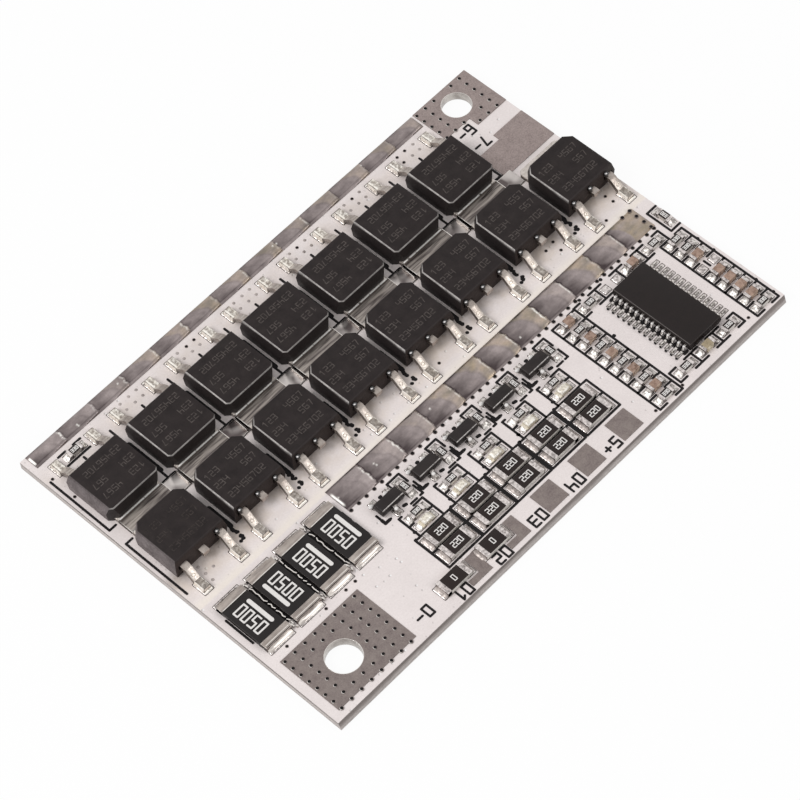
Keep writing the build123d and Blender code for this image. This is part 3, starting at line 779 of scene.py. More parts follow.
def ladder(x0, x1, x2, x3, rows):
    # two uprights, with the ends of the rungs between them
    rungs = [(x0, y, x1, y) for y in rows] + [(x2, y, x3, y) for y in rows]
    return rungs + down(x0, (rows[0], rows[-1])) + down(x3, (rows[0], rows[-1]))


def silkLines():
    lines = []
    for x0, x1 in silk["balanceBoxes"]:
        lines += across(-16.8, (x0, x1)) + across(-12.65, (x0, x1))
        lines += down(x0, (-16.8, -12.65)) + down(x1, (-16.8, -12.65)) + across(-14.7, (x0, x1))
    for x0, x1 in silk["lampBoxes"]:
        lines += down(x0, (-9.95, -12.6)) + down(x1, (-9.95, -12.6))
        lines += across(-9.95, (x0, x0 + 0.35), (x1 - 1.15, x1)) + across(-11.25, (x0, x0 + 0.6), (x1 - 0.6, x1))
    for x0, x1 in silk["gateBoxes"]:
        lines += across(-6.6, (x0, x1)) + down(x1, (-6.6, -7.75), (-8.45, -9.65)) + down(x0, (-6.6, -7.5))
        lines += across(-9.65, (x0, x0 + 0.75), (x1 - 0.35, x1))
    for x in silk["hooks"]:
        lines += down(x, (-8.2, -9.35)) + across(-9.35, (x, x + 0.7))
    # transistor rows: a line between neighbours, with ticks where the tabs meet
    for high, low, tick in ((9.0, 16.8, 9.0), (-1.0, 6.85, 6.85)):
        lines += down(-29.6, (high, low)) + across(tick, (-29.6, -28.8))
    for x in every(-22.1, pitch, 7):
        lines += down(x, (9.0, 16.7), (1.4, 6.9))
        lines += across(9.0, (x - 0.85, x + 0.85)) + across(6.95, (x - 0.4, x + 0.4))
    lines += down(22.9, (9.1, 10.5)) + across(9.1, (22.1, 22.9))
    lines += across(18.2, (-27.3, -26.4), (-25.4, -24.5)) + across(16.85, (-27.3, -24.5))
    lines += ladder(12.85, 13.8, 15.0, 15.95, silk["rungs"])
    for uprights, edges, tick in silk["cells"]:
        lines += [(x, edges[0], x, edges[1]) for x in uprights]
        for x0, x1 in zip(uprights, uprights[1:]):
            lines += [(x0, y, x0 + tick, y) for y in edges] + [(x1 - tick, y, x1, y) for y in edges]
    lines += ladder(26.55, 27.5, 28.6, 29.55, every(-7.97, -1.33, 10))
    lines += across(-7.5, (28.65, 29.87)) + across(-4.45, (28.65, 29.87))
    lines += down(28.65, (-4.45, -7.5)) + down(28.02, (-12.1, -12.85))
    # far row: a short mark behind each body
    for x in every(-25.68, pitch, 7):
        lines += down(x, (16.1, 16.1 + 0.35))
    # beside the outer two shunts
    return lines + down(-29.25, (-5.6, -9.0)) + down(-14.35, (-5.6, -6.7), (-7.3, -9.0))


def silkBlots():
    # short heavy strokes beside each lead of the load row, as an overprinted mark leaves them
    blots = []
    for x in every(-22.08, pitch, 7):
        for y in (0.85, 0.68, 0.5, 0.33, 0.16, -0.38, -0.55, -0.72):
            start = x + random.uniform(-0.13, 0.13)
            blots.append((start, y, start + random.uniform(0.02, 0.12), y + random.uniform(-0.06, 0.06)))
        blots.append((x - 0.42, -0.78, x - 0.4, -0.8))
    for x in silk["hooks"]:
        blots += down(x, (-8.9, -9.35)) + across(-9.35, (x, x + 0.55)) + across(-7.05, (x + 1.65, x + 1.75))
        blots.append((x + 2.45, -9.3, x + 2.7, -9.35))
    for x0, x1 in silk["lampBoxes"]:
        blots += [(x0 - 0.05, -11.95, x0, -12.0), (x0 - 0.55, -12.6, x0 - 0.6, -12.6)]
    return blots + [(x, y, x, y + 0.04) for x, y in silk["ticks"]]


drawSilk("silkLines", silkLines(), silk["width"], silk["lift"] + 0.01)
# painted shade: wide black bars in the gaps between neighbouring bodies, where the mask lies in shadow
bodyGapShadeLines = [(x, 1.05, x, 3.85) for x in every(-21.98, pitch, 7)]
bodyGapShadeLines += [(x, 10.1, x, 14.3) for x in every(-21.98, pitch, 6)]
drawSilk("bodyGapShadows", bodyGapShadeLines, silk["gapShadeWidth"], silk["lift"] + 0.012)
drawSilk("silkBlots", silkBlots(), silk["blotWidth"], silk["lift"] + 0.004)
print("silk lines drawn")


# Printed numbers: each digit is a few bars on a grid two wide and four high
digitBars = {
    "0": "00-20 20-24 24-04 04-00", "1": "10-14 14-03", "2": "04-24 24-22 22-02 02-00 00-20",
    "3": "04-24 24-20 20-00 02-22", "4": "04-02 02-22 24-20", "5": "24-04 04-02 02-22 22-20 20-00",
    "6": "24-04 04-00 00-20 20-22 22-02", "7": "04-24 24-10", "+": "02-22 11-13", "-": "02-22",
}


def numberLines(text, x, y, degrees, size):
    # bars of a number centred on x, y, its reading direction turned by degrees
    turn = math.radians(degrees)
    cos, sin = math.cos(turn), math.sin(turn)
    lines = []
    for i, sign in enumerate(text):
        shift = (i - (len(text) - 1) / 2) * size["step"]
        for bar in digitBars[sign].split():
            ends = []
            for corner in bar.split("-"):
                u = shift + (int(corner[0]) - 1) * size["digit"] / 2
                v = (int(corner[1]) - 2) * size["height"] / 4
                ends += [x + u * cos - v * sin, y + u * sin + v * cos]
            lines.append(tuple(ends))
    return lines


terminalPrint = {
    "height": 1.12, "digit": 0.62, "step": 1.02, "stroke": 0.22,
    "signs": [
        ("6-", 24.55, 15.1), ("7-", 24.55, 13.1), ("0-", -17.1, -18.4), ("01", -13.1, -19.52),
        ("02", -8.0, -19.52), ("03", -3.05, -19.3), ("04", 1.95, -19.3), ("5+", 7.05, -19.2),
    ],
}
numbers = [line for text, x, y in terminalPrint["signs"] for line in numberLines(text, x, y, 180, terminalPrint)]
drawSilk("terminalNumbers", numbers, terminalPrint["stroke"], silk["lift"] + 0.01)

shuntPrint = {
    "height": 1.32, "digit": 0.5, "step": 0.86, "stroke": 0.17, "barWidth": 0.42, "barLength": 3.3,
    "base": boardTop + 0.6 - 0.03, "thickness": 0.045,
    # centre x, centre y, and -1 where it is turned half round
    "places": [(-27.5, -7.42, 1), (-23.75, -7.4, -1), (-19.88, -7.4, 1), (-16.02, -7.2, 1)],
}
reach = (shuntPrint["barLength"] - shuntPrint["barWidth"]) / 2
shuntDigits, shuntBars = [], []
for x, y, side in shuntPrint["places"]:
    shuntDigits += numberLines("0050", x - 0.35 * side, y, -90 * side, shuntPrint)
    shuntBars += down(x + 0.85 * side, (y - reach, y + reach))
for name, lines, width in (
    ("shuntDigits", shuntDigits, shuntPrint["stroke"]), ("shuntBars", shuntBars, shuntPrint["barWidth"]),
):
    drawBars(name, lines, width, shuntPrint["base"], shuntPrint["thickness"], "printAndHighlightWhite")

columnRows = every(-19.27, 1.33, 10)
channels = every(-9.9, 4.6, 5)
balancePlaces = [(x, y, 0) for x in channels for y in (-15.72, -13.77)]
linkPlaces = [(-12.8, -18.05, 0), (-7.725, -18.05, 0)]
smallResistors = [(x, -10.7, 0) for x in channels] + [(x, -8.1, 90) for x in every(-8.7, 4.9, 5)]
smallResistors += [(14.4, y, 0) for y in columnRows[::2]] + [(28.0, columnRows[k], 0) for k in (0, 7, 8)]
smallResistors += [(17.375, -7.3, 0), (26.3, -7.3, 0), (17.85, -18.7, 0), (23.85, -18.7, 0)]
smallResistors += [(29.4, -5.95, 90), (-25.8, 17.5, 0)]
capacitors = [(14.4, y, 0) for y in columnRows[1::2]] + [(28.0, columnRows[k], 0) for k in (1, 2, 3, 4, 6)]
capacitors += [(23.325, -7.3, 0), (20.85, -18.7, 0)]
emptyPlaces = [(28.0, columnRows[5], 0), (20.35, -7.3, 0)]
lampPlaces = [(x, -11.9, 0) for x in channels]
shuntPlaces = [(x, -7.36 + shift, 90) for x, shift in zip(every(-27.5, 3.81, 4), (-0.05, -0.08, 0.0, 0.12))]

largePrint = {"height": 0.6, "digit": 0.29, "step": 0.44, "stroke": 0.09}
smallPrint = {"height": 0.34, "digit": 0.16, "step": 0.27, "stroke": 0.085}
for name, size, text, places, top in (
    ("balanceNumbers", largePrint, "220", balancePlaces, boardTop + 0.55),
    ("linkNumbers", largePrint, "0", linkPlaces, boardTop + 0.55),
    ("smallNumbers", smallPrint, "330", smallResistors, boardTop + 0.45),
):
    numbers = [line for place in places for line in numberLines(text, *place, size)]
    drawBars(name, numbers, size["stroke"], top - 0.03, 0.042, "printAndHighlightWhite")
print("numbers printed")

# Faint plain numbers where the transistors are marked, the same on each, and more worn on the first
mosfetMark = {
    "height": 0.62, "digit": 0.36, "step": 0.56, "stroke": 0.085, "sunk": 0.04, "top": boardTop + 2.3,
    "rows": [
        ("123", -1.7, 1.3), ("4567", 1.35, 1.3), ("234", -1.75, -0.05), ("567", 1.62, -0.07),
        ("23456702", -0.1, -1.6),
    ],
}
numbers = [line for text, x, y in mosfetMark["rows"] for line in numberLines(text, x, y, 0, mosfetMark)]
marks = joinBars(
    "mosfetMark", numbers, mosfetMark["stroke"], mosfetMark["top"] - mosfetMark["sunk"], mosfetMark["sunk"] + 0.004, 1
)
wornMarks = newPiece("wornMarks", marks.data.copy())
wornMarks.data.transform(at(*mosfetPlaces[0][:2]))
settle(wornMarks, ["markWorn"])
marks = copyTo(marks, "mosfetMarks", [at(x, y, 0.0, 0 if side > 0 else 180) for x, y, side in mosfetPlaces[1:]])
settle(marks, ["markFaint"])
print("transistor marks drawn")


# Beads of moulding compound where each lead leaves its body
bead = {
    "radius": 0.28, "flat": 0.9, "behind": 0.8, "before": 1.5, "shift": -0.3, "back": 3.1, "rise": 1.78,
    "brow": (-0.3, -0.35, 0.85), "glint": 0.955,
}


def makeBead():
    bpy.ops.mesh.primitive_uv_sphere_add(segments=20, ring_count=12, radius=bead["radius"] * mm)
    piece = bpy.context.active_object
    for vertex in piece.data.vertices:
        vertex.co.z *= bead["flat"]
        vertex.co.y *= bead["behind"] if vertex.co.y < 0 else bead["before"]
    # a painted glint on its brow: white faces where it turns towards the light
    piece.data.materials.append(material["beadBlack"])
    piece.data.materials.append(material["printAndHighlightWhite"])
    brow = Vector(bead["brow"]).normalized()
    for face in piece.data.polygons:
        face.material_index = 1 if face.normal.dot(brow) > bead["glint"] else 0
    return piece


beadPlaces = [
    at(x + reach + bead["shift"], y - bead["back"], boardTop + bead["rise"])
    for x, y, side in mosfetPlaces if side > 0 for reach in (leads[0], 0.0, leads[1])
]
# the end body has no bead at its first lead and its stub
beads = copyTo(makeBead(), "rootBeads", beadPlaces[2:])
smooth(beads, 60)
settle(beads)


# Vias: a plated rim round a dark bore, the bore near black as painted shade inside the hole; some rims carry a
# painted glint
via = {
    "rim": 0.22, "bore": 0.17, "sides": 12, "depth": 0.09, "lone": 0.78, "inPad": 0.95,
    # how far each kind stands above the board
    "onMask": 0.03, "onPad": 0.095, "onRail": 0.175,
    "row": [(x, -6.05) for x in every(-13.6, 1.01, 42)],
    "loners": [
        (-27.5, -11.5), (-22.45, -11.45), (-19.9, -11.45), (-18.7, -11.45), (12.5, -19.7), (16.2, -19.7),
        (25.85, -19.4), (-29.25, 16.9), (-29.2, 14.0), (-10.85, 18.0), (-9.85, 18.0), (18.0, 18.15),
        (19.05, 18.15), (18.0, 17.25), (11.6, 18.05), (4.05, 18.05), (19.2, -0.1), (20.4, 0.1), (20.2, -1.1),
        (27.6, -0.1), (27.65, -1.05), (25.55, -2.05), (3.3, -1.15),
    ],
    "rail": [(26.7, -3.05), (27.75, -3.05), (27.7, -3.95), (27.7, -4.9), (27.7, -5.8)],
}


def makeVia(glinting=False):
    bpy.ops.mesh.primitive_cylinder_add(vertices=via["sides"], radius=via["rim"] * mm, depth=via["depth"] * mm)
    piece = bpy.context.active_object
    pick("FACE", piece.data.polygons, lambda face: face.normal.z > 0.9)
    bpy.ops.mesh.inset(thickness=(via["rim"] - via["bore"]) * mm, depth=0)
    bpy.ops.mesh.extrude_region_move(TRANSFORM_OT_translate={"value": (0, 0, -0.02 * mm)})
    switchTo("OBJECT")
    for look in ("padTin", "viaBoreShade", "brightTinAndHighlight")[:3 if glinting else 2]:
        piece.data.materials.append(material[look])
    reach = via["bore"] * 1.05 * mm
    for face in piece.data.polygons:
        inside = math.hypot(face.center.x, face.center.y) < reach and face.center.z > -via["depth"] * mm * 0.49
        face.material_index = 1 if inside else 0
        # a painted glint on the -X side of the rim
        if glinting and not inside and face.normal.z > 0.9 and face.center.x < -reach * 0.35:
            face.material_index = 2
    return piece


def viaRaster(xs, ys, hole, clear, inPad):
    # vias in rows over a pad, except close to its fixing hole and off the pad
    return [
        (x, y) for x in xs for y in ys if math.hypot(x - hole[0], y - hole[1]) > clear and inPad(x, y)
    ]


def seatVias(places, rise, size=1.0):
    return [at(x, y, boardTop + rise - via["depth"] / 2, scale=(size, size, 1)) for x, y in places]


padVias = viaRaster(every(-28.75, 1.265, 8), every(-12.5, -0.993, 8), (-24.9, -16.0), 2.45, lambda x, y: y > -19.6)
padVias += viaRaster(
    every(28.9, -1.21, 6), every(20.1, -1.0, 6), (26.36, 18.1), 2.21, lambda x, y: not (x < 26.1 and y < 16.1)
)
openVias = seatVias(via["row"], via["onMask"]) + seatVias(via["loners"], via["onMask"], via["lone"])
openVias += seatVias(via["rail"], via["onRail"])

# Between the leads of the far row are more, filled over by the mask
filled = {
    "radius": 0.17, "flat": 0.25,
    # not there: transistor, place across, place along
    "missing": [
        (4, -1.15, 18.1), (4, -0.05, 18.1), (4, -1.15, 17.2), (0, -0.05, 18.1), (0, 0.95, 18.1),
        (3, -0.05, 18.1), (2, -0.05, 18.1),
    ],
    # and a few beside the first leads of the near row
    "near": [(-26.98, 0.2), (-27.0, -0.79), (-26.0, -0.76), (-27.02, -1.7), (-28.02, -0.72)],
}
filledPlaces = [
    (-10.8 + pitch * i + shift, y) for i in range(-1, 5) for shift in (-1.15, -0.05, 0.95) for y in (18.1, 17.2)
    if (i, shift, y) not in filled["missing"]
]
bpy.ops.mesh.primitive_uv_sphere_add(segments=12, ring_count=6, radius=filled["radius"] * mm)
filledVias = copyTo(bpy.context.active_object, "filledVias", [
    at(x, y, boardTop, scale=(1, 1, filled["flat"])) for x, y in filledPlaces + filled["near"]
])
smooth(filledVias, 60)
settle(filledVias, ["maskFill"])
settle(copyTo(makeVia(), "viaBarrels", openVias))
settle(copyTo(makeVia(glinting=True), "padViaBarrels", seatVias(padVias, via["onPad"], via["inPad"])))
print("vias set")


# Lands: thin rounded plates under the soldered ends
land = {
    "corner": 0.08, "edge": 0.03, "fall": 0.015, "gap": 0.12,
    # at a transistor's leads: how far from its middle, length and width
    "lead": (5.35, 1.08, 1.66),
    # at an empty place: inside the end of its part, beyond it, and width
    "open": (0.36, 0.42, 0.72),
}
chips = {
    # places, length, land inside its end, beyond it and its width, and run, width and climb of the solder
    "shunt": (shuntPlaces, 6.4, (1.0, 0.5, 3.05), (0.42, 2.95, 0.46)),
    "large": (balancePlaces + linkPlaces, 3.2, (0.6, 0.4, 1.6), (0.4, 1.5, 0.4)),
    "small": (smallResistors, 1.6, (0.42, 0.42, 0.82), (0.5, 0.8, 0.36)),
    "capacitor": (capacitors, 1.6, (0.42, 0.42, 0.82), (0.5, 0.8, 0.5)),
    "lamp": (lampPlaces, 1.6, (0.42, 0.42, 0.82), (0.42, 0.8, 0.24)),
    "empty": (emptyPlaces, 1.6, (0.42, 0.42, 0.82), None),
}
gate = {
    "columns": every(-10.9, 4.9, 5),
    # of each leg: place across and along the board of its land, and length and width of the land
    "lands": [(0.0, -9.3, 0.75, 0.8), (-0.95, -7.2, 0.75, 0.8), (0.95, -7.2, 0.75, 0.8)],
    # where its solder starts and which way it runs, and the balls at the bends: across, along, up, size
    "solder": [(0.0, -9.75, 90), (-0.95, -6.75, -90), (0.95, -6.75, -90)], "skin": (0.36, 0.45, 0.6),
    "balls": [(-0.1, -9.27, 0.6, (1, 1, 1)), (0.52, -7.3, 0.3, (1.4, 1.0, 0.9)), (-1.38, -7.3, 0.3, (1.4, 1.0, 0.9))],
}
controller = {
    "x": 21.6, "rows": [-13.05 + (k - 6.5) * 0.65 for k in range(14)],
    "between": [-13.05 + (k - 7) * 0.65 for k in range(15)],
    # of each pin: how far from the middle its land lies, and length and width of the land
    "lands": [(-2.98, 0.9, 0.36), (3.1, 1.1, 0.36)],
    "solder": [(-3.5, 0), (3.5, 180)], "skin": (0.36, 0.25, 0.45), "ball": (-2.4, 0.6, (0.65, 0.65, 0.65)),
    # painted shade: dark spots and gaps, how far out, and from where to where along the row
    "spots": [(2.62, -0.06, 0.06), (3.2, -0.06, 0.06), (3.62, -0.2, -0.08)], "gap": (2.3, 2.68),
}


def drawPlates(name, plates, thickness, look):
    # plates are (x, y, length, width, degrees) on the board, copied from one that is a millimetre square
    plate = makeSlab(1, 1, thickness, land["corner"] * mm, 3)
    pick("FACE", plate.data.polygons, lambda face: face.normal.z > 0.9)
    bpy.ops.mesh.inset(thickness=land["edge"] * mm, depth=land["fall"] * mm)
    switchTo("OBJECT")
    places = [at(x, y, sunk + hair * (i % 5), degrees) for i, (x, y, length, width, degrees) in enumerate(plates)]
    stretches = [(length - 1, width - 1) for x, y, length, width, degrees in plates]
    settle(copyTo(plate, name, places, stretches), [look])


def bothEnds(places, reach):
    # the two ends of each part: where they are, how the part is turned, and on which side they lie
    for x, y, degrees in places:
        turn = math.radians(degrees)
        for side in (-1, 1):
            yield x + side * reach * math.cos(turn), y + side * reach * math.sin(turn), degrees, side


def endPlates(places, length, inner, outer, width):
    # a land at each end of a part: from inner inside its end to outer beyond it
    ends = bothEnds(places, length / 2 + (outer - inner) / 2)
    return [(x, y, inner + outer, width, degrees) for x, y, degrees, side in ends]


landPlates = [plate for places, length, ends, run in chips.values() for plate in endPlates(places, length, *ends)]
away, *size = land["lead"]
landPlates += [(x + reach, y - side * away, *size, 0) for x, y, side in mosfetPlaces for reach in leads]
landPlates += [(x + shift, y, *size, 0) for x in gate["columns"] for shift, y, *size in gate["lands"]]
landPlates += [(controller["x"] + out, y, *size, 0) for y in controller["rows"] for out, *size in controller["lands"]]
drawPlates("solderLands", landPlates, 0.03, "chipTin")
# bare laminate shows round each land, where the mask stops short of it
gapPlates = [(x, y, length + land["gap"], width + land["gap"], turned) for x, y, length, width, turned in landPlates]
drawPlates("landGaps", gapPlates, 0.018, "landGapAndShade")
drawPlates("openLands", endPlates(*chips["empty"][:2], *land["open"]), 0.07, "chipTin")
print("lands laid")


# Solder that runs up the parts: a skin of points whose heights follow a rule, closed underneath

def makeSkin(name, length, width, steps, heightAt):
    # length along X from zero, width along Y about zero; heightAt gives z from both, in millimetres
    bpy.ops.mesh.primitive_grid_add(x_subdivisions=steps[0], y_subdivisions=steps[1], size=1.0)
    skin = bpy.context.active_object
    skin.name = name
    for vertex in skin.data.vertices:
        x, y = (vertex.co.x + 0.5) * length, vertex.co.y * width
        vertex.co = Vector((x * mm, y * mm, heightAt(x, y) * mm))
    switchTo("EDIT")
    bpy.ops.mesh.select_mode(type="FACE")
    bpy.ops.mesh.select_all(action="SELECT")
    bpy.ops.mesh.extrude_region_move(TRANSFORM_OT_translate={"value": (0, 0, -0.2 * mm)})
    switchTo("OBJECT")
    for vertex in skin.data.vertices:
        if vertex.select:
            vertex.co.z = 0.0
    switchTo("EDIT")
    bpy.ops.mesh.dissolve_faces()
    bpy.ops.mesh.select_all(action="SELECT")
    bpy.ops.mesh.normals_make_consistent(inside=False)
    switchTo("OBJECT")
    return skin


def filletHeight(x, y):
    # concave from the part's end at x 0, falling off towards both sides
    side = max(0.0, 1.0 - (abs(y) / 0.5) ** 6)
    run = 0.16 + 0.84 * (1.0 - x) ** 2.4
    return max(0.04, run * (0.35 + 0.65 * side) if x < 0.999 else 0.02)


def footHeight(x, y):
    # solder over a lead's foot, 0.5 high from x 0.3 to 1.65, drawn down to its land on three sides
    away = math.hypot(max(0.0, x - 1.65, 0.3 - x), max(0.0, abs(y) - 0.385))
    skin = 0.535 + 0.012 * math.sin(x * 7.0) + 0.02 * clamp(1.0 - abs(x - 1.45) / 0.12)
    drawn = 0.05 + 0.42 * max(0.0, 1.0 - away / 0.16) ** 1.6
    return skin if away < 0.02 else max(0.03, drawn)


foot = {
    "length": 1.8, "width": 0.92, "steps": (32, 26), "reach": 6.15, "scale": (0.9, 1.0, 1.0),
    # painted light: how bright it is, its toe and the side towards the light painted shining, with a painted dark
    # crease before each
    "toe": [(0.2, 0.95), (0.32, 0.12)], "rest": 0.7,
    1: [(0.35, 1.0), (0.3, 0.2), (-0.34, 0.42)],
    -1: [(0.36, 0.9), (0.3, 0.3), (0.12, 0.95), (-0.34, 0.62)],
}


def shineAt(x, lit, side):
    for end, shine in foot["toe"]:
        if x < end:
            return shine
    for edge, shine in foot[side]:
        if lit > edge:
            return shine
    return foot["rest"]


def makeFoot(side):
    skin = makeSkin("foot", foot["length"], foot["width"], foot["steps"], footHeight)
    layer = skin.data.attributes.new("shine", "FLOAT", "POINT")
    for i, vertex in enumerate(skin.data.vertices):
        layer.data[i].value = shineAt(vertex.co.x / mm, vertex.co.y / mm * side, side)
    return skin


filletMaster = makeSkin("endFillet", 1.0, 1.0, (6, 8), filletHeight)


def runFillets(name, *kinds):
    found = []
    for places, length, ends, size in (chips[kind] for kind in kinds):
        for x, y, degrees, side in bothEnds(places, length / 2 - 0.01):
            found.append(at(x, y, boardTop, degrees + (0 if side > 0 else 180), size))
    return copyTo(newPiece(name, filletMaster.data.copy()), name, found)


shuntJoints = runFillets("shuntJoints", "shunt")
largeJoints = runFillets("largeJoints", "large")
endFillets = runFillets("endFillets", "small", "capacitor", "lamp")
bpy.data.objects.remove(filletMaster)
feet = []
for way in (1, -1):
    places = [
        at(x + reach, y - side * foot["reach"], boardTop, 90 * side, foot["scale"])
        for x, y, side in mosfetPlaces if side == way for reach in leads
    ]
    feet.append(copyTo(makeFoot(way), "feet", places))
footJoints = joinAs("footJoints", feet)

# Legs of the gate transistors and the controller: solder, white balls at the bends as painted highlights on the
# solder, and dark spots and gaps as painted shade
legPlaces, ballPlaces, pinShadeLines = [], [], []
for x in gate["columns"]:
    legPlaces += [at(x + shift, y, boardTop, turned, gate["skin"]) for shift, y, turned in gate["solder"]]
    ballPlaces += [at(x + shift, y, boardTop + up, scale=size) for shift, y, up, size in gate["balls"]]
middle, (out, up, size) = controller["x"], controller["ball"]
for y in controller["rows"]:
    for shift, turned in controller["solder"]:
        legPlaces.append(at(middle + shift, y, boardTop, turned, controller["skin"]))
    ballPlaces.append(at(middle + out, y, boardTop + up, scale=size))
    for away, low, high in controller["spots"]:
        pinShadeLines += down(middle - away, (y + low, y + high))
legJoints = copyTo(makeSkin("legJoints", 1.8, 1.24, (10, 8), footHeight), "legJoints", legPlaces)
# painted shade: dark spots by the pins and dark bars in the gaps between them
drawBars("pinShadeSpots", pinShadeLines, 0.14, boardTop + 0.05, 0.17, "silkAndShadeBlack")
start, end = controller["gap"]
pinGaps = [(middle - start, y, middle - end, y) for y in controller["between"]]
drawBars("pinGaps", pinGaps, 0.27, sunk, 0.16, "silkAndShadeBlack")
# white balls at the bends: painted highlights on the solder
bpy.ops.mesh.primitive_uv_sphere_add(segments=14, ring_count=8, radius=0.21 * mm)
legHighlightBalls = copyTo(bpy.context.active_object, "legHighlightBalls", ballPlaces)
smooth(legHighlightBalls, 60)
settle(legHighlightBalls, ["printAndHighlightWhite"])


def poolHeight(x, y):
    # a shallow meniscus that dips in the middle, with a soft fold across it
    dip = 0.12 + 0.05 * (abs(x - 1.0) / 1.0) ** 3
    fold = 0.03 * math.exp(-((x - 0.7 - 0.5 * y) / 0.22) ** 2)
    ripple = 0.02 * noise.noise(Vector((x * 0.9, y * 0.8, 3.0)))
    end = min(1.0, (1.05 - abs(y)) / 0.15 + 0.3)
    return (dip + fold + ripple) * max(0.3, end)


# from the edge of one tab to the next
pool = {"tab": 2.7, "gap": 0.01, "y": 7.9, "length": 1.98, "width": 2.1, "steps": (22, 24)}
pools = makeSkin("tabPools", pool["length"], pool["width"], pool["steps"], poolHeight)
pools = copyTo(pools, "tabPools", [at(x + pool["tab"] + pool["gap"], pool["y"], boardTop) for x in columns[:7]])
for piece, look, degrees in (
    (joinAs("solderJoints", [endFillets, legJoints]), "jointSolder", 50), (largeJoints, "largeSolder", 50),
    (footJoints, "foot", 50), (shuntJoints, "streaked", 50), (pools, "pool", 60),
):
    smooth(piece, degrees)
    settle(piece, [look], ["solder_joints"])
print("solder joints run")


# Strips of tinned tab metal between the two rows, brushed along the row
strip = {
    "length": 5.46, "low": 6.98, "high": 8.9, "base": 0.03, "top": 0.535, "edge": 0.06,
    # a dark band and the broken seam along each strip, the seam drawn in glint white as a painted highlight
    "darkBandY": 8.66, "seamY": 8.84, "dashes": (0.35, 1.3), "gaps": (0.12, 0.2, 0.35),
}
bpy.ops.mesh.primitive_cube_add(size=1.0)
stripMaster = bpy.context.active_object
stripMaster.scale = (strip["length"] * mm, (strip["high"] - strip["low"]) * mm, (strip["top"] - strip["base"]) * mm)
applyPlace(stripMaster)
applyModifier(stripMaster, "BEVEL", width=strip["edge"] * mm, segments=2, limit_method="ANGLE")
strips = copyTo(stripMaster, "tabStrips", [
    at(x, (strip["low"] + strip["high"]) / 2, boardTop + (strip["base"] + strip["top"]) / 2)
    for x in columns[:7]
])
smooth(strips)
settle(strips, ["strip"])
darkBandLines, seamLines, endHighlightLines, endShadows = [], [], [], []
for i, x in enumerate(columns[:7]):
    along = -2.5
    while along < 2.2:
        dash = random.uniform(*strip["dashes"])
        seamLines.append((x + along, strip["seamY"], x + min(2.5, along + dash), strip["seamY"]))
        along += dash + random.choice(strip["gaps"])
    darkBandLines += across(strip["darkBandY"], (x - 2.6, x + 2.6))
    endHighlightLines += down(x - 2.7, (7.0, 8.85)) + down(x + 2.7, (7.05, 8.8))
    if i:
        endHighlightLines.append((x - 3.1, 7.0, x - 3.02, 8.6))
        endShadows += down(x - 2.88, (7.0, 8.8))
# painted highlights along the strip ends and in the seam, and painted shadows just before the ends
for name, lines, width, base, thickness, look in (
    ("stripDarkBands", darkBandLines, 0.16, 0.5, 0.042, "landGapAndShade"),
    ("stripSeams", seamLines, 0.14, 0.5, 0.06, "glintWhite"),
    ("stripEndHighlights", endHighlightLines, 0.06, 0.15, 0.39, "brightTinAndHighlight"),
    ("stripShadows", endShadows, 0.16, 0.02, 0.18, "landGapAndShade"),
):
    drawBars(name, lines, width, boardTop + base, thickness, look)

# A small ring is coined into the slope of each near-row lead
ring = {"radius": 0.16, "wire": 0.045, "root": 3.05, "reach": 1.24, "rise": 0.86, "lean": 40.8}
bpy.ops.mesh.primitive_torus_add(
    major_radius=ring["radius"] * mm, minor_radius=ring["wire"] * mm, major_segments=20, minor_segments=6,
    rotation=(math.radians(ring["lean"]), 0, 0),
)
ringMaster = bpy.context.active_object
applyPlace(ringMaster)
rings = copyTo(ringMaster, "leadRings", [
    at(x + reach, y - ring["root"] - ring["reach"], boardTop + ring["rise"])
    for x, y, side in mosfetPlaces if side > 0 for reach in leads
])
smooth(rings, 60)
settle(rings, ["leadTin"])

# Shunts: painted highlight lines at their caps, and painted shadow in the gaps between them, with runs of solder
capEdge = {
    # half length of the painted highlight lines over the caps, where they lie along a shunt, and the painted shadow
    # below them
    "half": 1.4, "capHighlightLines": (2.43, -2.93), "shadowHalf": 1.45, "shadow": -3.13,
    # runs of solder: pieces, their step and how many are kept, then five splashes beyond each end
    "pieces": 20, "step": 0.26, "kept": 0.86, "splashes": [(-3.5, -2.5), (2.5, 3.2)],
}
capHighlightLines, edgeLines, gapShadowLines, runLines = [], [], [], []
for i, (x, y, degrees) in enumerate(shuntPlaces):
    for along in capEdge["capHighlightLines"]:
        capHighlightLines += across(y + along, (x - capEdge["half"], x + capEdge["half"]))
    edgeLines += across(y + capEdge["shadow"], (x - capEdge["shadowHalf"], x + capEdge["shadowHalf"]))
    if i:
        middle = x - 3.81 / 2
        gapShadowLines += [(middle + shift, y - 2.3, middle + shift, y + 2.4) for shift in (-0.2, 0.0, 0.2)]
        rises = [capEdge["step"] * k for k in range(capEdge["pieces"])]
        points = [(middle + random.uniform(-0.04, 0.12), y - 2.5 + rise) for rise in rises]
        runLines += [(*start, *end) for start, end in zip(points, points[1:]) if random.random() < capEdge["kept"]]
        for low, high in capEdge["splashes"]:
            for k in range(5):
                spot = (middle + random.uniform(-0.17, 0.17), random.uniform(y + low, y + high))
                runLines.append((*spot, spot[0] + random.uniform(-0.08, 0.08), spot[1] + random.uniform(0.1, 0.35)))
drawBars("capHighlightLines", capHighlightLines, 0.09, boardTop + 0.57, 0.045, "brightTinAndHighlight")
drawBars("capShadows", edgeLines, 0.07, boardTop + 0.57, 0.04, "silkAndShadeBlack")
drawSilk("shuntGaps", gapShadowLines, 0.24, 0.06)
drawBars("shuntRuns", runLines, 0.1, boardTop + 0.02, 0.28, "brightTinAndHighlight")
print("strips, rings and shunt edges set")


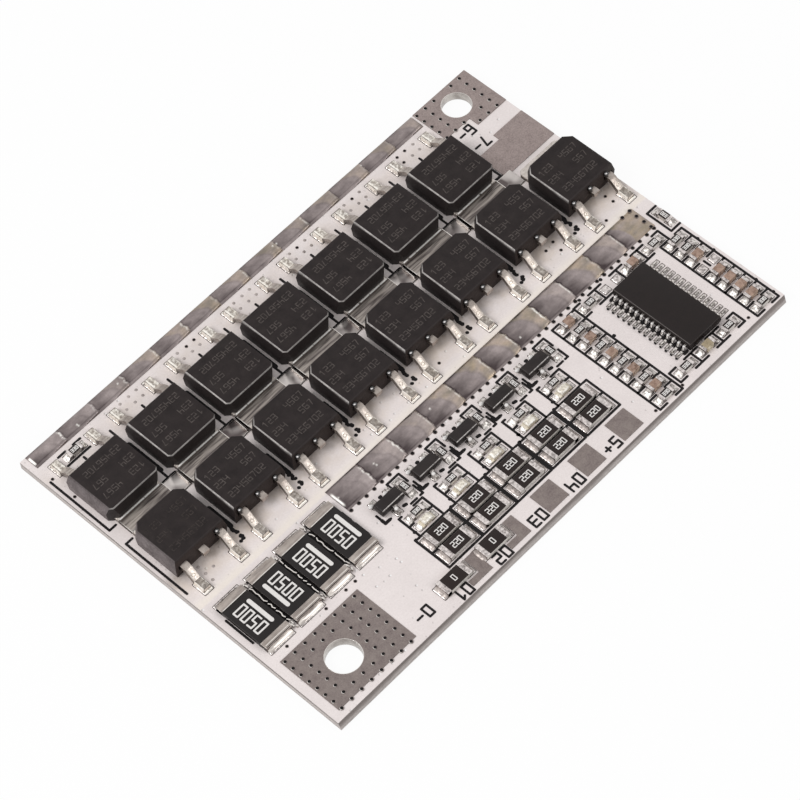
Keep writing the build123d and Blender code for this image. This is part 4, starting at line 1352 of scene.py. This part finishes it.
# Solder-thickened rails: overlapping swells, each with a front at its +X end
rails = {
    "middleRail": {
        "node": "middle_solder_rail", "left": -13.8, "right": 28.1, "low": -5.9, "high": -2.95,
        "fronts": [-13.8, -9.9, -5.95, -2.1, 1.85, 5.9, 9.45, 13.4, 17.1, 21.0, 24.3, 28.6],
        "swells": 10, "browned": [0.0, 0.1, 0.3, 0.75, 1.0, 0.8, 0.95, 0.15, 0.95, 0.35, 1.0],
        "glints": [0.9, 0.7, 0.85, 0.4, 0.5, 0.4, 0.55, 1.0, 0.6, 0.3, 0.45, 0.0],
        "spots": [(-13.45, -4.3), (-8.7, -4.2), (-8.62, -4.5), (-1.0, -4.0), (10.3, -4.95)],
        "steps": (460, 26), "bow": 0.12, "rim": 0.86, "tones": (0.26, 0.68),
    },
    "outerRail": {
        "node": "outer_solder_rail", "left": -29.35, "right": 22.35, "low": 18.8, "high": 20.46,
        "fronts": [-29.4, -25.45, -21.4, -17.35, -13.35, -9.4, -5.4, -1.4, 2.9, 6.7, 10.7, 14.9, 18.6, 22.5],
        "swells": 13, "browned": [0.0, 0.0, 0.2, 0.5, 0.6, 0.8, 0.6, 0.7, 0.5, 0.6, 0.5, 0.6, 0.3],
        "glints": [1.0, 0.95, 0.3, 0.4, 0.5, 0.6, 0.2, 0.35, 0.2, 0.4, 0.1, 0.1, 0.1, 0.0],
        "spots": [(-23.7, 19.4), (-23.68, 19.2), (-18.1, 19.75), (2.55, 19.8), (3.05, 19.8), (14.95, 20.05)],
        "steps": (520, 18), "bow": 0.1, "rim": 0.66, "tones": (0.42, 0.32),
    },
}


def waver(x, y, seed):
    return noise.noise(Vector((x, y, seed)))


def railPoint(rail, x, y):
    # the swell a point lies in, how far along it and how far across, behind a wandering front
    side = clamp(y / ((rail["high"] - rail["low"]) / 2), -1.0, 1.0)
    wander = 0.13 * waver(x * 0.12, y * 2.2, 1) + 0.05 * waver(x * 0.12, y * 7.0, 4)
    place = x - rail["bow"] * (1 - side ** 2) - wander
    fronts = rail["fronts"]
    k = max([i for i, front in enumerate(fronts[:-1]) if front <= place] or [0])
    return k, clamp((place - fronts[k]) / (fronts[k + 1] - fronts[k])), side


def railHeight(rail, x, y):
    k, share, side = railPoint(rail, x, y)
    rise = clamp((share - 0.1) / 0.86) ** 1.5 if k < rail["swells"] else 0.0
    fall = min(1.0, (1.0 - share) / 0.035)
    wave = 0.02 * waver(x * 0.9, y * 1.4, 5) + 0.01 * waver(x * 3, y * 4, 9)
    end = clamp(min(x - rail["left"], rail["right"] - x) / 0.25)
    return max(0.06, (0.13 + 0.17 * rise * fall + wave) * (1 - side ** 10) * (0.4 + 0.6 * end))


def railShadeFluxGlint(rail, x, y):
    # tone, browning and glint: painted shade dark behind each front, paler and browned by flux towards the next, and
    # painted glints
    k, share, side = railPoint(rail, x, y)
    along = share if k < rail["swells"] else min(1.0, share * 2.4)
    rim = rail["rim"]
    start, gain = rail["tones"]
    tone = start + gain * min(1.0, along / 0.8)
    # painted shade: darker on the lower half early in a swell, a middle tone below the rim, dark lines along the rim
    # and the upper edge, and darkest just behind a front
    tone -= 0.5 * gain * (1 - along) * clamp((0.35 - side) / (0.35 + rim))
    if side < -rim:
        tone = 0.5
    tone -= 0.3 * clamp(1 - abs(side + rim) / 0.09) * (1.2 - along)
    tone -= 0.3 * clamp((side - 0.86) / 0.08)
    if k > 0:
        tone -= 0.7 * gain * clamp(1 - share / 0.045)
    # the browning ends in an arch, with finer arches inside it
    arch = 0.72 - 0.39 * clamp((side + 0.6) / 1.6) ** 2
    beyond = along - arch + 0.03 * waver(x * 1.1, y * 1.3, 6)
    if -rim < side and k < rail["swells"]:
        tone -= 0.16 * math.exp(-(beyond / 0.03) ** 2)
        tone += 0.04 * math.sin(beyond * 36.0 + 2 * side) * math.exp(-abs(beyond) * 5.0)
    patches = 0.75 + 0.5 * waver(x * 1.3, y * 1.7, 2)
    browned = rail["browned"][k] * clamp((beyond + 0.03) / 0.1) * patches
    # painted glints: on each front, on the first swell's start, and in a few spots
    broken = clamp(0.75 + 1.6 * waver(x * 0.3, y * 6.0, 7))
    front = clamp(1.5 - abs(share - 0.955) / 0.025) * clamp(1.25 - abs(side / 0.7) ** 3)
    glint = rail["glints"][k + 1] * front * broken
    if k == 0:
        first = clamp(1.5 - abs(x - rail["left"] - 0.16) / 0.09) * clamp(1.3 - abs(side / 0.6) ** 3)
        glint = max(glint, rail["glints"][0] * first)
    for spotX, spotY in rail["spots"]:
        away = math.hypot(x - spotX, (y + (rail["high"] + rail["low"]) / 2 - spotY))
        glint = max(glint, 0.75 * clamp(1.5 - away / 0.085))
    return clamp(tone), clamp(browned), clamp(glint)


def makeRail(name, rail):
    length, width = rail["right"] - rail["left"], rail["high"] - rail["low"]
    skin = makeSkin(name, length, width, rail["steps"], lambda x, y: railHeight(rail, rail["left"] + x, y))
    middle = (rail["low"] + rail["high"]) / 2
    skin.data.transform(at(rail["left"], middle, boardTop))
    layers = [skin.data.attributes.new(label, "FLOAT", "POINT") for label in ("tone", "browned", "glint")]
    for i, vertex in enumerate(skin.data.vertices):
        for layer, value in zip(layers, railShadeFluxGlint(rail, vertex.co.x / mm, vertex.co.y / mm - middle)):
            layer.data[i].value = value
    smooth(skin, 50)
    settle(skin, ["rail"], [rail["node"]])


for name, rail in rails.items():
    makeRail(name, rail)
print("rails run")


# Plated walls of the two fixing holes: x, y and radius of each
holes = {"wall": 0.05, "edge": 0.02, "depth": 1.075, "places": [(-24.9, -16.0, 1.8), (26.36, 18.1, 1.56)]}
barrels = []
for x, y, radius in holes["places"]:
    bpy.ops.mesh.primitive_cylinder_add(
        vertices=64, radius=radius * mm, depth=holes["depth"] * mm, location=(x * mm, y * mm, 0.5425 * mm),
        end_fill_type="NOTHING",
    )
    barrel = bpy.context.active_object
    applyPlace(barrel)
    applyModifier(barrel, "SOLIDIFY", thickness=holes["wall"] * mm, offset=-1.0)
    applyModifier(
        barrel, "BEVEL", width=holes["edge"] * mm, segments=2, limit_method="ANGLE", angle_limit=math.radians(40)
    )
    barrels.append(barrel)
holeBarrels = joinAs("holeBarrels", barrels)
smooth(holeBarrels)
settle(holeBarrels, ["brightTinAndHighlight"])
print("holes plated")


# Stage: pale floor, soft lamps, white behind the object for the camera and for reflections
stage = {
    "floorShare": 0.94, "worldLight": 0.56, "size": 3.0, "drop": 0.00003,
    # place, size and watts
    "keyLamp": ((-0.36, 0.15, 0.42), 0.3, 1.8), "frontLamp": ((0.2, -0.44, 0.3), 0.22, 0.55),
}


def isSeen(tree):
    rays = addNode(tree, "LightPath").outputs
    seen = calculate(tree, "ADD", rays["Is Camera Ray"], rays["Is Glossy Ray"])
    return calculate(tree, "ADD", seen, rays["Is Transmission Ray"], clamped=True)


bpy.ops.mesh.primitive_plane_add(size=stage["size"], location=(0, 0, -stage["drop"]))
floor = bpy.context.active_object
floor.name = "floor"
floorMaterial, tree, shader = startMaterial("paleFloor", 0.9, 0.0, 0.1)
shader.inputs["Base Color"].default_value = (0.85, 0.85, 0.85, 1)
glow = addNode(tree, "Emission", {"Color": (1, 1, 1, 1), "Strength": 1.0})
share = multiply(tree, isSeen(tree), stage["floorShare"])
mixed = addNode(tree, "MixShader", {0: share, 1: shader.outputs[0], 2: glow.outputs[0]})
tree.links.new(mixed.outputs[0], tree.nodes["Material Output"].inputs["Surface"])
floor.data.materials.append(floorMaterial)

world = bpy.data.worlds.new("studio")
bpy.context.scene.world = world
world.use_nodes = True
tree = world.node_tree
back = tree.nodes["Background"]
back.inputs["Color"].default_value = (1, 1, 1, 1)
tree.links.new(remap(tree, isSeen(tree), 0.0, 1.0, stage["worldLight"], 1.0), back.inputs["Strength"])

for name in ("keyLamp", "frontLamp"):
    place, size, watts = stage[name]
    data = bpy.data.lights.new(name, "AREA")
    data.shape = "SQUARE"
    data.size = size
    data.energy = watts
    lamp = link(name, data)
    lamp.location = place
    lamp.rotation_euler = (-Vector(place)).to_track_quat("-Z", "Y").to_euler()
print("stage set")
